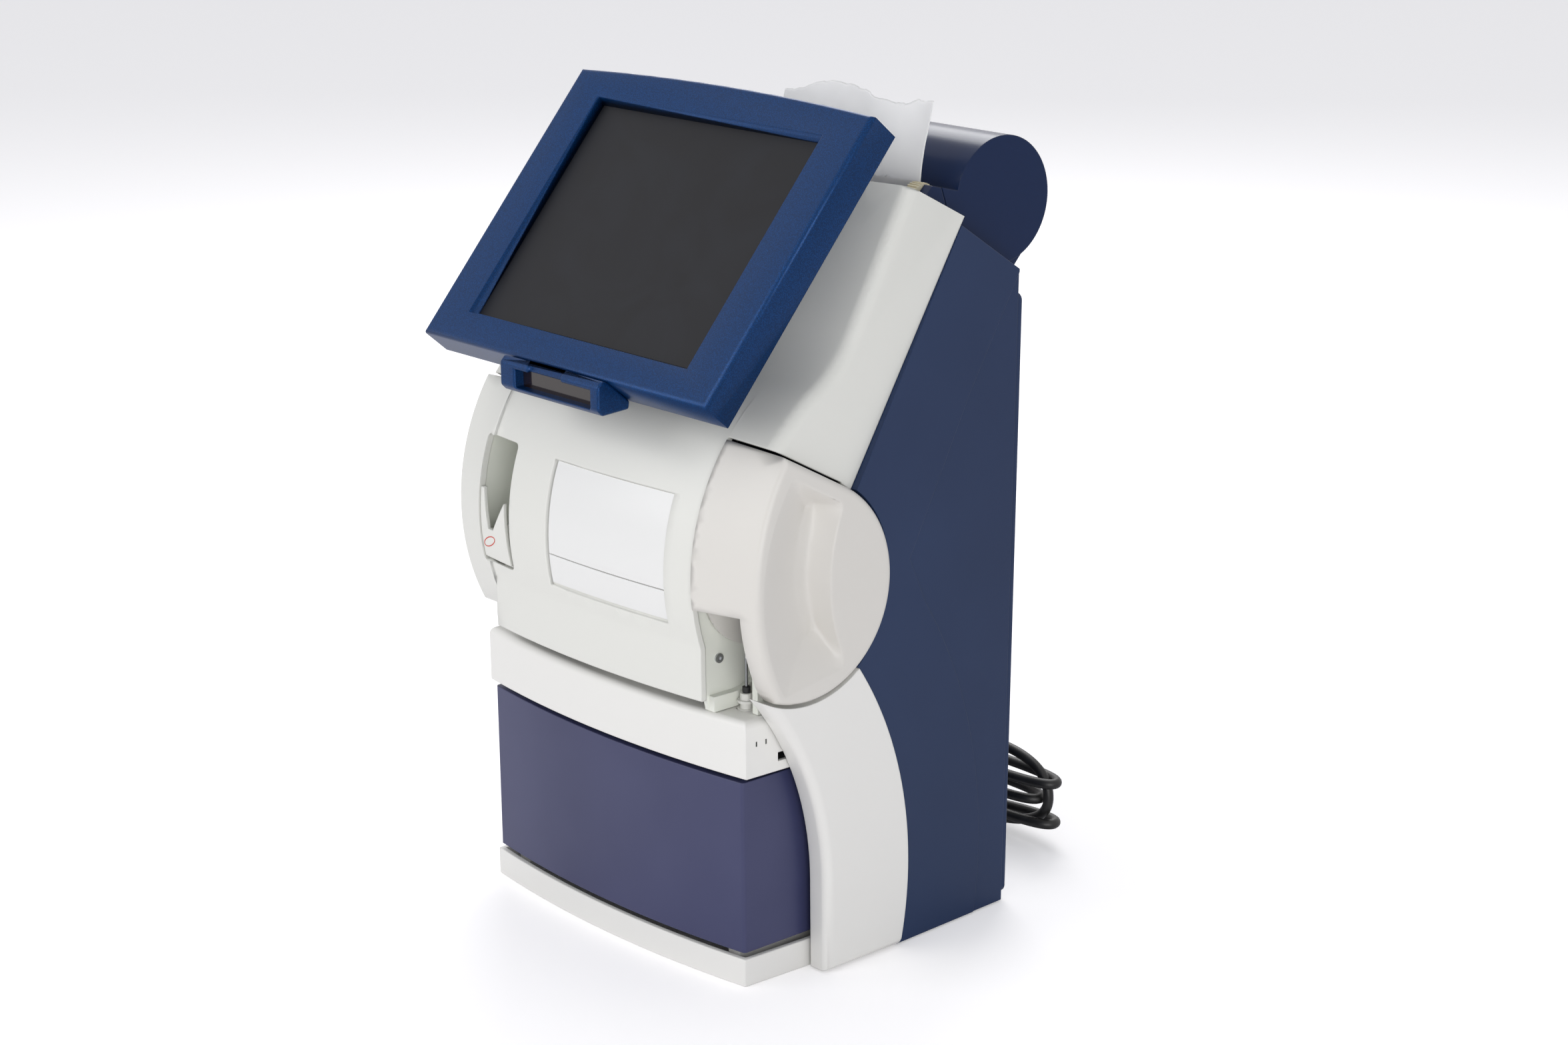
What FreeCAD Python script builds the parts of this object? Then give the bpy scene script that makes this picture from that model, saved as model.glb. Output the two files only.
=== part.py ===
import FreeCAD, Part
import math
import os

os.makedirs("parts", exist_ok=True)
doc = FreeCAD.newDocument("Analyzer")
V = FreeCAD.Vector

# Driving dimensions in millimetres. Names that end in deg are angles, in count are
# numbers of copies, and in share or shares are ratios. X runs to the viewer's right,
# Y to the back and Z up; the front of the case faces minus Y.
SIZES = [
    # walls and gaps shared by the mouldings
    ("wall", 3), ("seat_gap", 0.3), ("fit_gap", 0.05), ("overrun", 20),
    ("floor_lift", 1),
    # the plan curve that all the front faces follow
    ("crown_centre_y", 563), ("crown_sweep_deg", 32),
    # base tray
    ("tray_half", 103.8), ("tray_back_half", 105.3), ("tray_top_z", 15), ("tray_corner_y", -97),
    ("tray_front_y", -105), ("tray_flare_y", -57), ("tray_back_y", 72), ("pad_radius", 9),
    ("pad_depth", 1.5),
    ("pad_x", 84), ("pad_front_y", -80), ("pad_back_y", 56), ("rail_x", 88), ("rail_width", 9),
    ("rail_back_y", 38),
    # solution pack
    ("pack_half", 102.5), ("pack_bottom_z", 18), ("pack_top_z", 109.7), ("pack_corner_y", -96),
    ("pack_front_y", -104), ("pack_back_y", 38), ("pack_round", 2), ("port_count", 6), ("port_radius", 3),
    ("port_length", 4), ("port_pitch", 14), ("port_z", 78), ("port_recess", 5),
    # ledge with its lights and USB socket
    ("ledge_half", 106), ("ledge_flare_half", 107.4), ("ledge_bottom_z", 112.7), ("ledge_top_z", 142.7),
    ("ledge_corner_y", -96.5), ("ledge_front_y", -105), ("ledge_back_y", -50), ("ledge_round", 4),
    ("hole_x", 89), ("hole_y", -81), ("hole_radius", 5.2), ("light_width", 1), ("light_height", 2.7),
    ("light_z", 130), ("light_front_y", -89.6), ("light_back_y", -83.4), ("light_depth", 2),
    ("usb_front_y", -75.9), ("usb_back_y", -63.9), ("usb_low_z", 117.8), ("usb_high_z", 122.4),
    ("usb_depth", 12), ("usb_wall", 1),
    # chassis frame
    ("frame_inner", 105.7), ("frame_outer", 107.7), ("frame_front_y", -48), ("frame_sheet", 2),
    ("frame_waist_y", -8), ("frame_waist_low_z", 150), ("frame_waist_high_z", 290), ("frame_top_z", 354),
    ("frame_top_y", 31), ("frame_crest_y", 46), ("frame_drop", 4), ("frame_bottom_z", 15.3),
    # front cover: drum, skirt and neck, as measured on the middle plane
    ("drum_radius", 112.3), ("drum_y", -4.4), ("drum_z", 212), ("skirt_z", 150.5), ("skirt_y", -111.3),
    ("neck_low_y", -75.6), ("neck_low_z", 269), ("neck_top_y", -4.8), ("neck_top_z", 399.1),
    ("neck_fillet", 64), ("neck_half", 115), ("neck_round", 8), ("drum_right_x", 84), ("drum_left_x", -85),
    ("seam_gap", 1.5), ("bound_top_y", 43.4), ("bound_top_z", 377.8),
    ("bound_low_y", -34.4), ("bound_low_z", 251.4), ("top_open_half", 100.6), ("top_open_y", 26),
    ("shoulder_x", 111), ("shoulder_inset", 2),
    # windows and plates in the drum
    ("label_left_x", -25), ("label_right_x", 65), ("label_top_z", 254), ("label_split_z", 205.7),
    ("label_low_z", 190), ("label_margin", 2), ("label_sheet", 1.3), ("label_recess", 1.7),
    ("window_left_x", -92), ("window_right_x", -61.5), ("window_top_z", 255), ("window_low_z", 187),
    ("window_round", 3),
    # inlet handle at the right end of the drum, round its pivot
    ("pivot_y", -68.1), ("pivot_z", 206.7), ("pod_radius", 56.5), ("pod_in_x", 85), ("pod_out_x", 122),
    ("pod_tangent_deg", 61.1), ("pod_front_y", 20.5), ("pod_front_z", 209.6), ("pod_front_radius", 122),
    ("pod_inner_y", -0.6), ("pod_round", 3.5), ("disc_radius", 33.5), ("disc_in_x", 81), ("disc_out_x", 84),
    ("hub_radius", 10), ("pin_radius", 6), ("notch_x", 111.7), ("notch_tip_x", 120.4), ("notch_top_z", 200),
    ("notch_bend_z", 163), ("notch_tip_z", 151.6), ("notch_back_y", -58),
    # grip recess in the handle's side face
    ("grip_depth", 13), ("grip_wall", 2), ("grip_top_front_y", -77.8), ("grip_top_front_z", 267.5),
    ("grip_top_back_y", -44.2), ("grip_top_back_z", 248.4), ("grip_back_y", -53.1), ("grip_back_z", 213.5),
    ("grip_low_back_y", -43), ("grip_low_back_z", 163.9), ("grip_low_front_y", -84.6),
    ("grip_low_front_z", 157),
    ("grip_front_y", -97.4), ("grip_front_z", 211),
    # the grip's floor, a narrow strip close to its back edge
    ("well_top_front_y", -60), ("well_top_back_y", -53), ("well_top_z", 249), ("well_back_y", -59),
    ("well_low_back_y", -52), ("well_low_z", 184), ("well_low_front_y", -61), ("well_front_y", -68),
    ("grip_floor_round", 4), ("grip_rim_round", 1.2),
    # arch trims and side covers, which keep off the handle by the seam circle
    ("seam_radius", 57.8),
    ("arch_out_x", 121), ("arch_tip_y", -80), ("arch_front_y", -220), ("arch_front_z", 49.3),
    ("arch_front_radius", 163.7),
    ("arch_back_y", -200.5), ("arch_back_z", 48.5), ("arch_back_radius", 201), ("arch_round", 5),
    ("side_in_x", 108), ("side_front_x", 118), ("side_back_x", 114), ("side_taper_y", -7),
    ("side_back_low_y", 77.1), ("side_back_top_y", 85.8), ("side_back_top_z", 346.4),
    ("side_top_y", 42.6), ("side_top_z", 373.6), ("step_depth", 0.6), ("step_low_y", 53.7),
    ("step_mid_y", 49.5), ("step_mid_z", 110), ("step_bend_y", 16.9), ("step_bend_z", 182.8),
    ("step_kink_y", 4.8), ("step_kink_z", 209), ("step_top_y", 48.8), ("step_top_z", 287.4),
    # rear cover and what is set in it
    ("rear_half", 112), ("rear_stand", 4.2), ("rear_low_z", 4), ("rear_top_z", 333), ("rear_round", 4),
    ("vent_count", 9), ("vent_pitch", 9), ("vent_slot", 3.2), ("vent_length", 46), ("vent_x", 50),
    ("vent_z", 262), ("screw_x", 98), ("screw_radius", 3.5), ("screw_head", 1.2),
    ("inlet_x", -92), ("inlet_z", 62), ("inlet_width", 27), ("inlet_height", 20), ("inlet_body", 24),
    ("net_x", -30), ("net_z", 60), ("net_width", 15.5), ("net_height", 13),
    ("net_depth", 16), ("net_wall", 1.4),
    ("fan_size", 50), ("fan_depth", 12), ("fan_bore", 23.5), ("fan_hub", 9), ("blade_count", 7),
    ("spoke_count", 3),
    ("blade_sheet", 1.2), ("blade_twist_deg", 35),
    # display, measured from the middle of its glass opening
    ("display_y", -73.35), ("display_z", 375.9), ("display_tilt_deg", 49.2), ("open_half_width", 86.85),
    ("open_half_height", 66.5), ("bezel_half_width", 114), ("bezel_low_v", 84.5), ("bezel_high_v", 83),
    ("bezel_arch", 3.7), ("bezel_front", 3), ("bezel_back", 22), ("bezel_round", 2.5), ("bezel_lip", 5),
    ("glass_sheet", 1.8), ("glass_margin", 2.5), ("lcd_depth", 8), ("back_half_width", 82),
    ("back_half_height", 38), ("back_depth", 15), ("back_taper", 9),
    ("reader_half", 40), ("reader_front_y", -132), ("reader_top_z", 310.5), ("reader_low_z", 292.5),
    ("reader_back_y", -112.6), ("reader_window_left_x", -28), ("reader_window_right_x", 33),
    ("reader_window_low_z", 295.5), ("reader_window_high_z", 305), ("reader_window_depth", 7),
    ("reader_notch_left_x", -17), ("reader_notch_right_x", 9.5), ("reader_glass", 1.2),
    # tilt hinge behind the display
    ("hinge_y", -44.9), ("hinge_z", 339.1), ("hinge_radius", 6), ("hinge_pin_radius", 2.5),
    ("hinge_half", 32),
    ("knuckle_half", 20), ("hinge_plate", 3), ("hinge_foot", 13),
    # printer under its round lid
    ("lid_half", 100), ("lid_y", 86.3), ("lid_z", 380.3), ("lid_radius", 33.2), ("lid_wall", 2.5),
    ("wing_front_y", 43.2), ("wing_front_z", 391.9), ("wing_back_z", 389), ("wing_low_y", 46.2),
    ("wing_low_z", 383.3), ("lid_pin_y", 92), ("lid_pin_z", 344.6), ("lid_pin_radius", 2),
    ("lid_knuckle_radius", 3.4), ("lid_knuckle_in_x", 86), ("ear_in_x", 70), ("ear_out_x", 85),
    ("lid_lift", 1.3), ("lid_tail_deg", -66), ("roll_y", 86), ("roll_z", 376), ("roll_radius", 18),
    ("spindle_radius", 5.95), ("paper_left_x", -25.3), ("paper_right_x", 85.7), ("trough_play", 1.2),
    ("trough_start_deg", 195), ("trough_mid_deg", 245), ("trough_end_deg", 295),
    ("trough_sheet", 1.5), ("bracket_gap", 1.2), ("bracket_sheet", 2), ("bracket_round", 9),
    ("deck_sheet", 2), ("deck_drop", 2.2), ("deck_half", 105.4), ("print_shelf_z", 362),
    ("print_front_y", 26.5),
    ("platen_y", 36.6), ("platen_z", 374.5), ("platen_radius", 5), ("platen_end_x", 85.3),
    ("shaft_radius", 2),
    ("cheek_high_z", 377.6), ("cheek_sheet", 2), ("cheek_back_y", 44), ("head_sheet", 3.8),
    ("head_high_z", 379),
    ("wheel_y", 36.4), ("wheel_z", 386.4), ("wheel_radius", 8), ("wheel_in_x", 86.4), ("wheel_out_x", 93.4),
    ("tooth_count", 28), ("tooth_depth", 0.6), ("paper_sheet", 0.3), ("slit_y", 42.2), ("paper_low_z", 380),
    ("paper_bend_z", 393.5), ("paper_mid_y", 46.6), ("paper_mid_z", 414), ("paper_top_y", 53),
    ("paper_top_z", 434), ("cap_sheet", 1.4), ("cap_front_z", 385.6), ("cap_back_z", 381.6),
    ("cap_back_y", 41.3), ("block_front_z", 384), ("block_top_y", 36.6), ("block_top_z", 393.6),
    ("block_in_x", 94.1),
    # inlet bay under the handle
    ("plate_in_x", 77), ("plate_out_x", 80), ("plate_front_z", 192), ("plate_waist_y", -100.3),
    ("plate_waist_z", 172), ("plate_low_y", -101.6), ("plate_low_z", 159.5), ("plate_back_y", -40),
    ("plate_high_z", 236),
    ("plate_foot_z", 143), ("foot_back_y", -46), ("wave_front_y", -98), ("wave_z", 151), ("wave_x", 84),
    ("screw_y", -91.4), ("screw_z", 169.3), ("small_screw_radius", 2.5), ("small_screw_head", 1),
    ("post_in_x", 98), ("post_out_x", 102), ("post_back_y", -81), ("post_front_y", -85),
    ("post_high_z", 196),
    ("needle_radius", 0.8), ("needle_low_z", 122), ("needle_high_z", 199), ("carrier_in_x", 86.2),
    ("carrier_back_y", -79), ("carrier_low_z", 193), ("carrier_high_z", 199), ("sleeve_low_z", 172),
    ("sleeve_wall", 2), ("wash_radius", 3.3), ("wash_flange", 4.7), ("wash_low_z", 132),
    ("wash_flange_z", 146), ("wash_flange_sheet", 1.4), ("wash_top_z", 151), ("seal_top_z", 154),
    ("seal_radius", 2.1),
    # mixer in the left window
    ("cradle_left_x", -91.2), ("cradle_right_x", -62.3), ("cradle_low_z", 188.6), ("cradle_high_z", 227),
    ("cradle_skin", 2), ("notch_mid_x", -81.5), ("notch_half", 2.5), ("notch_z", 205.5),
    ("slot_x", -64.5), ("slot_low_z", 189), ("trough_bore", 9), ("trough_z", 204), ("trough_length", 42),
    ("arm_sheet", 2.4), ("arm_x", -77), ("cradle_pin_radius", 3), ("cradle_hub", 6),
    ("mixer_y", -14), ("mixer_z", 212), ("mixer_back_y", 4), ("mixer_wall_y", -44),
    # modules on the deck
    ("deck_z", 142.4), ("cassette_left_x", -18), ("cassette_right_x", 56), ("cassette_front_y", -88),
    ("cassette_back_y", -52), ("cassette_high_z", 184), ("cassette_rib", 3), ("cassette_rib_count", 5),
    ("pump_x", 30), ("pump_y", -18), ("pump_half", 22), ("pump_high_z", 176), ("pump_bore", 17),
    ("pump_rotor", 15.5), ("pump_shaft", 3), ("roller_radius", 4), ("roller_count", 4),
    ("roller_ring", 10.5),
    ("supply_left_x", -96), ("supply_right_x", -4), ("supply_front_y", 4), ("supply_back_y", 66),
    ("supply_high_z", 204), ("supply_slot_count", 8), ("supply_slot", 3), ("board_y", 66),
    ("board_sheet", 1.6),
    ("board_low_z", 222), ("board_high_z", 318), ("board_half", 105.4), ("chip_size", 24),
    ("chip_sheet", 3),
    ("manifold_front_y", 44.3), ("manifold_back_y", 58), ("manifold_half", 52), ("manifold_low_z", 66),
    ("manifold_high_z", 90),
    # mains lead
    ("cord_diameter", 5.8), ("connector_length", 26), ("connector_width", 22), ("connector_height", 15),
    ("relief_length", 17), ("relief_radius", 5), ("plug_radius", 12), ("plug_length", 38),
    ("plug_neck", 14), ("tail_run", 25), ("pin_length", 18), ("plug_pin_radius", 2.4),
    ("plug_pin_gap", 9.5),
]
# Ratios, chosen by hand. A cord's arc takes its share of the shorter of its two straight runs.
cord_arc_share = 0.45
wave_shares = (0.2, 0.4, 0.5, 0.6, 0.75)
shoulder_shares = (0.0, 0.3, 0.55, 1.0)
blade_root_share = 0.9
screw_socket_share = 0.7
reader_step_share = 0.8
lug_shares = (0.7, 0.3, 0.9)
ear_share = 0.9
pin_spread_share = 0.7

sheet = doc.addObject("Spreadsheet::Sheet", "Sizes")
for row, (name, value) in enumerate(SIZES):
    sheet.set("A%d" % (row + 1), name)
    sheet.set("B%d" % (row + 1), str(value))
    sheet.setAlias("B%d" % (row + 1), name)
doc.recompute()


class Values:
    pass


s = Values()
for name, value in SIZES:
    setattr(s, name, float(sheet.get(name)))

origin = V(0, 0, 0)
x_axis = V(1, 0, 0)
y_axis = V(0, 1, 0)
z_axis = V(0, 0, 1)
nodes = []


def keep(label, shape):
    """A finished sub-part whose shape is made with Part's functions."""
    piece = doc.addObject("Part::Feature", label)
    piece.Shape = shape
    piece.Label = label
    nodes.append(piece)
    return piece


def finish(piece, label):
    """A finished sub-part that is already an object of the document."""
    piece.Label = label
    nodes.append(piece)
    return piece


def bind(piece, **cells):
    """Sizes and places of a primitive as expressions of the sheet's cells."""
    for key, text in cells.items():
        prop = {"px": "Placement.Base.x", "py": "Placement.Base.y", "pz": "Placement.Base.z"}.get(key, key)
        piece.setExpression(prop, text)
    return piece


def sheet_box(name, x0, x1, y0, y1, z0, z1):
    """A box between six expressions of the sheet."""
    piece = doc.addObject("Part::Box", name)
    return bind(
        piece,
        Length="(%s) - (%s)" % (x1, x0),
        Width="(%s) - (%s)" % (y1, y0),
        Height="(%s) - (%s)" % (z1, z0),
        px=x0,
        py=y0,
        pz=z0,
    )


def sheet_cylinder(name, axis, radius, length, px, py, pz):
    """A cylinder along an axis, its sizes and place taken from the sheet."""
    piece = doc.addObject("Part::Cylinder", name)
    piece.Placement = FreeCAD.Placement(origin, FreeCAD.Rotation(z_axis, axis))
    return bind(piece, Radius=radius, Height=length, px=px, py=py, pz=pz)


def union(name, pieces):
    piece = doc.addObject("Part::MultiFuse", name)
    piece.Shapes = pieces
    return piece


def less(name, base, tool):
    piece = doc.addObject("Part::Cut", name)
    piece.Base = base
    piece.Tool = tool
    return piece


def box(x0, x1, y0, y1, z0, z1):
    return Part.makeBox(x1 - x0, y1 - y0, z1 - z0, V(x0, y0, z0))


def rod(x0, x1, y, z, radius):
    """A round bar along X."""
    return Part.makeCylinder(radius, x1 - x0, V(x0, y, z), x_axis)


def wire_at(x, steps):
    """A closed wire in the plane of one X: each step is an end point, or a middle and an end point."""
    edges = []
    here = steps[0]
    for step in steps[1:] + [steps[0]]:
        if len(step) == 4:
            edges.append(
                Part.Arc(V(x, *here), V(x, step[0], step[1]), V(x, step[2], step[3])).toShape()
            )
            here = (step[2], step[3])
        elif math.dist(here, step) > 0:
            edges.append(Part.LineSegment(V(x, *here), V(x, *step)).toShape())
            here = step
    return Part.Wire(edges)


def slab(x0, x1, steps):
    """A prism along X with the outline that the steps give."""
    return Part.Face(wire_at(x0, steps)).extrude(V(x1 - x0, 0, 0))


def crowned(steps):
    """A side outline swept round the plan curve of the front."""
    centre = V(0, s.crown_centre_y, 0)
    face = Part.Face(wire_at(0, steps))
    face.rotate(centre, z_axis, -s.crown_sweep_deg / 2)
    return face.revolve(centre, z_axis, s.crown_sweep_deg)


def crown_y(y, x):
    """Where a point of the middle plane comes to lie at another X."""
    return s.crown_centre_y - math.sqrt((s.crown_centre_y - y) ** 2 - x ** 2)


def arc_y(cy, cz, radius, z, side):
    return cy + side * math.sqrt(radius ** 2 - (z - cz) ** 2)


def on_circle(cy, cz, radius, degrees):
    a = math.radians(degrees)
    return (cy + radius * math.cos(a), cz + radius * math.sin(a))


def circles_meet(c1, r1, c2, r2, low):
    """One of the two points where two circles cross: the lower or the higher."""
    d = math.dist(c1, c2)
    a = (r1 ** 2 - r2 ** 2 + d ** 2) / (2 * d)
    h = math.sqrt(r1 ** 2 - a ** 2)
    ux, uy = (c2[0] - c1[0]) / d, (c2[1] - c1[1]) / d
    found = [(c1[0] + a * ux - k * h * uy, c1[1] + a * uy + k * h * ux) for k in (1, -1)]
    return min(found, key=lambda p: p[1]) if low else max(found, key=lambda p: p[1])


def line_meets(p, u, centre, radius, ahead):
    """Where a line from p along u crosses a circle, ahead of p or behind it."""
    dx, dy = p[0] - centre[0], p[1] - centre[1]
    b = dx * u[0] + dy * u[1]
    root = math.sqrt(b ** 2 - (dx ** 2 + dy ** 2 - radius ** 2))
    t = -b + root if ahead else -b - root
    return (p[0] + t * u[0], p[1] + t * u[1])


def moved(p, u, amount):
    return (p[0] + u[0] * amount, p[1] + u[1] * amount)


def mirrored(shape):
    return shape.mirror(origin, x_axis)


def fillet_near(shape, radius, test):
    """Rounds the edges whose middle passes the test."""
    edges = [e for e in shape.Edges if test(e)]
    return shape.makeFillet(radius, edges)


def crowned_box(half, corner_y, front_y, back_y, z0, z1, flare_half=None, flare_y=None):
    """A block whose front is bowed in plan, with sides that may flare out to the back."""
    flare_half = half if flare_half is None else flare_half
    flare_y = back_y if flare_y is None else flare_y
    edges = [Part.Arc(V(-half, corner_y, z0), V(0, front_y, z0), V(half, corner_y, z0)).toShape()]
    corners = [V(half, corner_y, z0), V(flare_half, flare_y, z0)]
    if flare_y < back_y:
        corners.append(V(flare_half, back_y, z0))
        corners.append(V(-flare_half, back_y, z0))
    corners.append(V(-flare_half, flare_y, z0))
    corners.append(V(-half, corner_y, z0))
    edges += [Part.LineSegment(a, b).toShape() for a, b in zip(corners, corners[1:])]
    return Part.Face(Part.Wire(edges)).extrude(V(0, 0, z1 - z0))


# An open tray with a bowed front; its feet are set flush in the underside.
tray = crowned_box(s.tray_half, s.tray_corner_y, s.tray_front_y, s.tray_back_y, 0, s.tray_top_z,
                   s.tray_back_half, s.tray_flare_y)
tray_hollow = crowned_box(s.tray_half - s.wall, s.tray_corner_y + s.wall, s.tray_front_y + s.wall,
                          s.tray_back_y - s.wall, s.wall, s.tray_top_z + s.overrun,
                          s.tray_back_half - s.wall, s.tray_flare_y)
tray = tray.cut(tray_hollow)
pad_places = [(x, y) for x in (-s.pad_x, s.pad_x) for y in (s.pad_front_y, s.pad_back_y)]
pads = [Part.makeCylinder(s.pad_radius, s.pad_depth, V(x, y, 0)) for x, y in pad_places]
keep("foot_pads", Part.makeCompound(pads))

# Two runners stand in the tray and carry the solution pack.
rail_right = sheet_box("RailRight", "Sizes.rail_x - Sizes.rail_width / 2",
                       "Sizes.rail_x + Sizes.rail_width / 2",
                       "Sizes.tray_corner_y + 2 * Sizes.wall", "Sizes.rail_back_y", "Sizes.wall",
                       "Sizes.pack_bottom_z - Sizes.seat_gap")
rail_left = sheet_box("RailLeft", "-Sizes.rail_x - Sizes.rail_width / 2",
                      "-Sizes.rail_x + Sizes.rail_width / 2",
                      "Sizes.tray_corner_y + 2 * Sizes.wall", "Sizes.rail_back_y", "Sizes.wall",
                      "Sizes.pack_bottom_z - Sizes.seat_gap")
rails = doc.addObject("Part::Compound", "Rails")
rails.Links = [rail_right, rail_left]
doc.recompute()
keep("base_tray", tray.cut(pads).fuse(rails.Shape).removeSplitter())

# A closed block with a bowed plain face; its ports point at the manifold behind it.
pack = crowned_box(s.pack_half, s.pack_corner_y, s.pack_front_y, s.pack_back_y, s.pack_bottom_z,
                   s.pack_top_z)
pack = fillet_near(pack, s.pack_round, lambda e: abs(abs(e.CenterOfMass.x) - s.pack_half) < s.seat_gap
                   and abs(e.CenterOfMass.y - s.pack_corner_y) < s.seat_gap)
port_row = [(i - (s.port_count - 1) / 2) * s.port_pitch for i in range(int(s.port_count))]
port_reach = s.port_length + s.port_recess
pack_ports = []
for x in port_row:
    well = Part.makeCylinder(s.port_radius * 2, s.port_recess,
                             V(x, s.pack_back_y - s.port_recess, s.port_z), y_axis)
    pack = pack.cut(well)
    port = Part.makeCylinder(s.port_radius, port_reach, V(x, s.pack_back_y - s.port_recess, s.port_z),
                             y_axis)
    bore = Part.makeCylinder(s.port_radius / 2, port_reach, V(x, s.pack_back_y - s.port_recess, s.port_z),
                             y_axis)
    pack_ports.append(port.cut(bore))
keep("pack_shell", pack)
keep("pack_ports", Part.makeCompound(pack_ports))
manifold = box(-s.manifold_half, s.manifold_half, s.manifold_front_y, s.manifold_back_y,
               s.manifold_low_z, s.manifold_high_z)
for x in port_row:
    manifold = manifold.cut(Part.makeCylinder(s.port_radius / 2, s.wall,
                                              V(x, s.manifold_front_y, s.port_z), y_axis))
stem_y = s.pack_back_y + s.port_length + s.seat_gap
for x in port_row:
    stem = Part.makeCylinder(s.port_radius, s.manifold_front_y - stem_y, V(x, stem_y, s.port_z), y_axis)
    manifold = manifold.fuse(stem)
hanger = box(-s.manifold_half, s.manifold_half, s.manifold_front_y + s.wall, s.manifold_back_y,
             s.manifold_high_z, s.deck_z - s.frame_sheet)
keep("pack_manifold", manifold.fuse(hanger).removeSplitter())

# A bowed strip, open below, with a round hole for the probe, two light slots and a USB cut-out.
ledge = crowned_box(s.ledge_half, s.ledge_corner_y, s.ledge_front_y, s.ledge_back_y, s.ledge_bottom_z,
                    s.ledge_top_z, s.ledge_flare_half)
ledge = fillet_near(ledge, s.ledge_round, lambda e: abs(e.CenterOfMass.z - s.ledge_top_z) < s.seat_gap
                    and e.CenterOfMass.y < s.ledge_back_y - s.wall)
ledge_hollow = crowned_box(s.ledge_half - s.wall, s.ledge_corner_y + s.wall, s.ledge_front_y + s.wall,
                           s.ledge_back_y + s.overrun, s.ledge_bottom_z - s.overrun, s.ledge_top_z - s.wall,
                           s.ledge_flare_half - s.wall, s.ledge_back_y)
ledge = ledge.cut(ledge_hollow)
ledge = ledge.cut(Part.makeCylinder(s.hole_radius, s.wall * 2,
                                    V(s.hole_x, s.hole_y, s.ledge_top_z - s.wall * 1.5)))
side_x = s.ledge_half - s.wall
lights = []
for y in (s.light_front_y, s.light_back_y):
    slot = box(side_x - s.light_depth, s.ledge_flare_half + s.wall, y - s.light_width / 2,
               y + s.light_width / 2,
               s.light_z - s.light_height / 2, s.light_z + s.light_height / 2)
    ledge = ledge.cut(slot)
    face_x = s.ledge_half + (s.ledge_flare_half - s.ledge_half) * (y - s.ledge_corner_y) / (
        s.ledge_back_y - s.ledge_corner_y)
    lights.append(box(face_x - s.wall * 1.5, face_x - s.seat_gap, y - s.light_width / 2,
                      y + s.light_width / 2,
                      s.light_z - s.light_height / 2, s.light_z + s.light_height / 2))
usb_block = box(side_x - s.usb_depth, s.ledge_half + s.wall, s.usb_front_y, s.usb_back_y, s.usb_low_z,
                s.usb_high_z)
ledge = ledge.cut(usb_block)
keep("ledge", ledge)
keep("light_lenses", Part.makeCompound(lights))
usb_shell = box(side_x - s.usb_depth, s.ledge_half - s.wall / 3, s.usb_front_y, s.usb_back_y, s.usb_low_z,
                s.usb_high_z)
usb_hole = box(side_x - s.usb_depth + s.usb_wall, s.ledge_half + s.wall, s.usb_front_y + s.usb_wall / 2,
               s.usb_back_y - s.usb_wall / 2, s.usb_low_z + s.usb_wall / 5, s.usb_high_z - s.usb_wall / 5)
usb_tongue = box(side_x - s.usb_depth + s.usb_wall / 2, side_x - s.usb_wall, s.usb_front_y + s.usb_wall * 2,
                 s.usb_back_y - s.usb_wall * 2, s.usb_high_z - s.usb_wall * 2, s.usb_high_z - s.usb_wall)
usb_stay = box(side_x - s.usb_depth - s.wall, side_x - s.usb_depth, s.usb_front_y, s.usb_back_y,
               s.usb_low_z,
               s.ledge_top_z - s.wall)
keep("usb_socket", usb_shell.cut(usb_hole).fuse([usb_tongue, usb_stay]).removeSplitter())

# Two side plates, a shelf over the pack and a deck for the modules.
lean_u = (s.side_back_top_y - s.side_back_low_y, s.side_back_top_z)
slope_u = (s.side_back_top_y - s.side_top_y, s.side_back_top_z - s.side_top_z)
slope_length = math.hypot(*slope_u)
slope_u = (slope_u[0] / slope_length, slope_u[1] / slope_length)


def rear_y(z, off):
    """A place on the leaning back, some way behind the side covers' rear edges."""
    return s.side_back_low_y + off + z * lean_u[0] / lean_u[1]


def slope_point(y, off):
    """A place over or under the sloping top of the case, off measured square to it."""
    return (y, s.side_top_z + (y - s.side_top_y) * slope_u[1] / slope_u[0] + off / slope_u[0])


deck_back_y = rear_y(s.deck_z, 0) - s.wall
plate_steps = [
    (s.frame_front_y, s.frame_bottom_z), (rear_y(s.frame_bottom_z, 0), s.frame_bottom_z),
    (rear_y(s.rear_top_z, 0), s.rear_top_z), slope_point(s.side_back_top_y - s.frame_drop, -s.frame_drop),
    slope_point(s.frame_crest_y, -s.frame_drop), (s.frame_top_y, s.frame_top_z),
    (s.frame_waist_y, s.frame_waist_high_z), (s.frame_waist_y, s.frame_waist_low_z),
    (s.frame_front_y, s.ledge_bottom_z),
]
plate_right = slab(s.frame_inner, s.frame_outer, plate_steps)
shelf = box(-s.frame_inner, s.frame_inner, s.frame_front_y, deck_back_y,
            s.ledge_bottom_z, s.ledge_bottom_z + s.frame_sheet)
deck = box(-s.frame_inner, s.frame_inner, s.ledge_back_y + s.seat_gap, deck_back_y,
           s.deck_z - s.frame_sheet, s.deck_z)
shelf = shelf.cut(box(-s.manifold_half - s.seat_gap, s.manifold_half + s.seat_gap,
                      s.manifold_front_y + s.wall - s.seat_gap, s.manifold_back_y + s.seat_gap,
                      s.ledge_bottom_z - s.wall, s.ledge_bottom_z + s.wall))
keep("chassis_frame", plate_right.fuse([mirrored(plate_right), shelf, deck]).removeSplitter())

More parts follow.
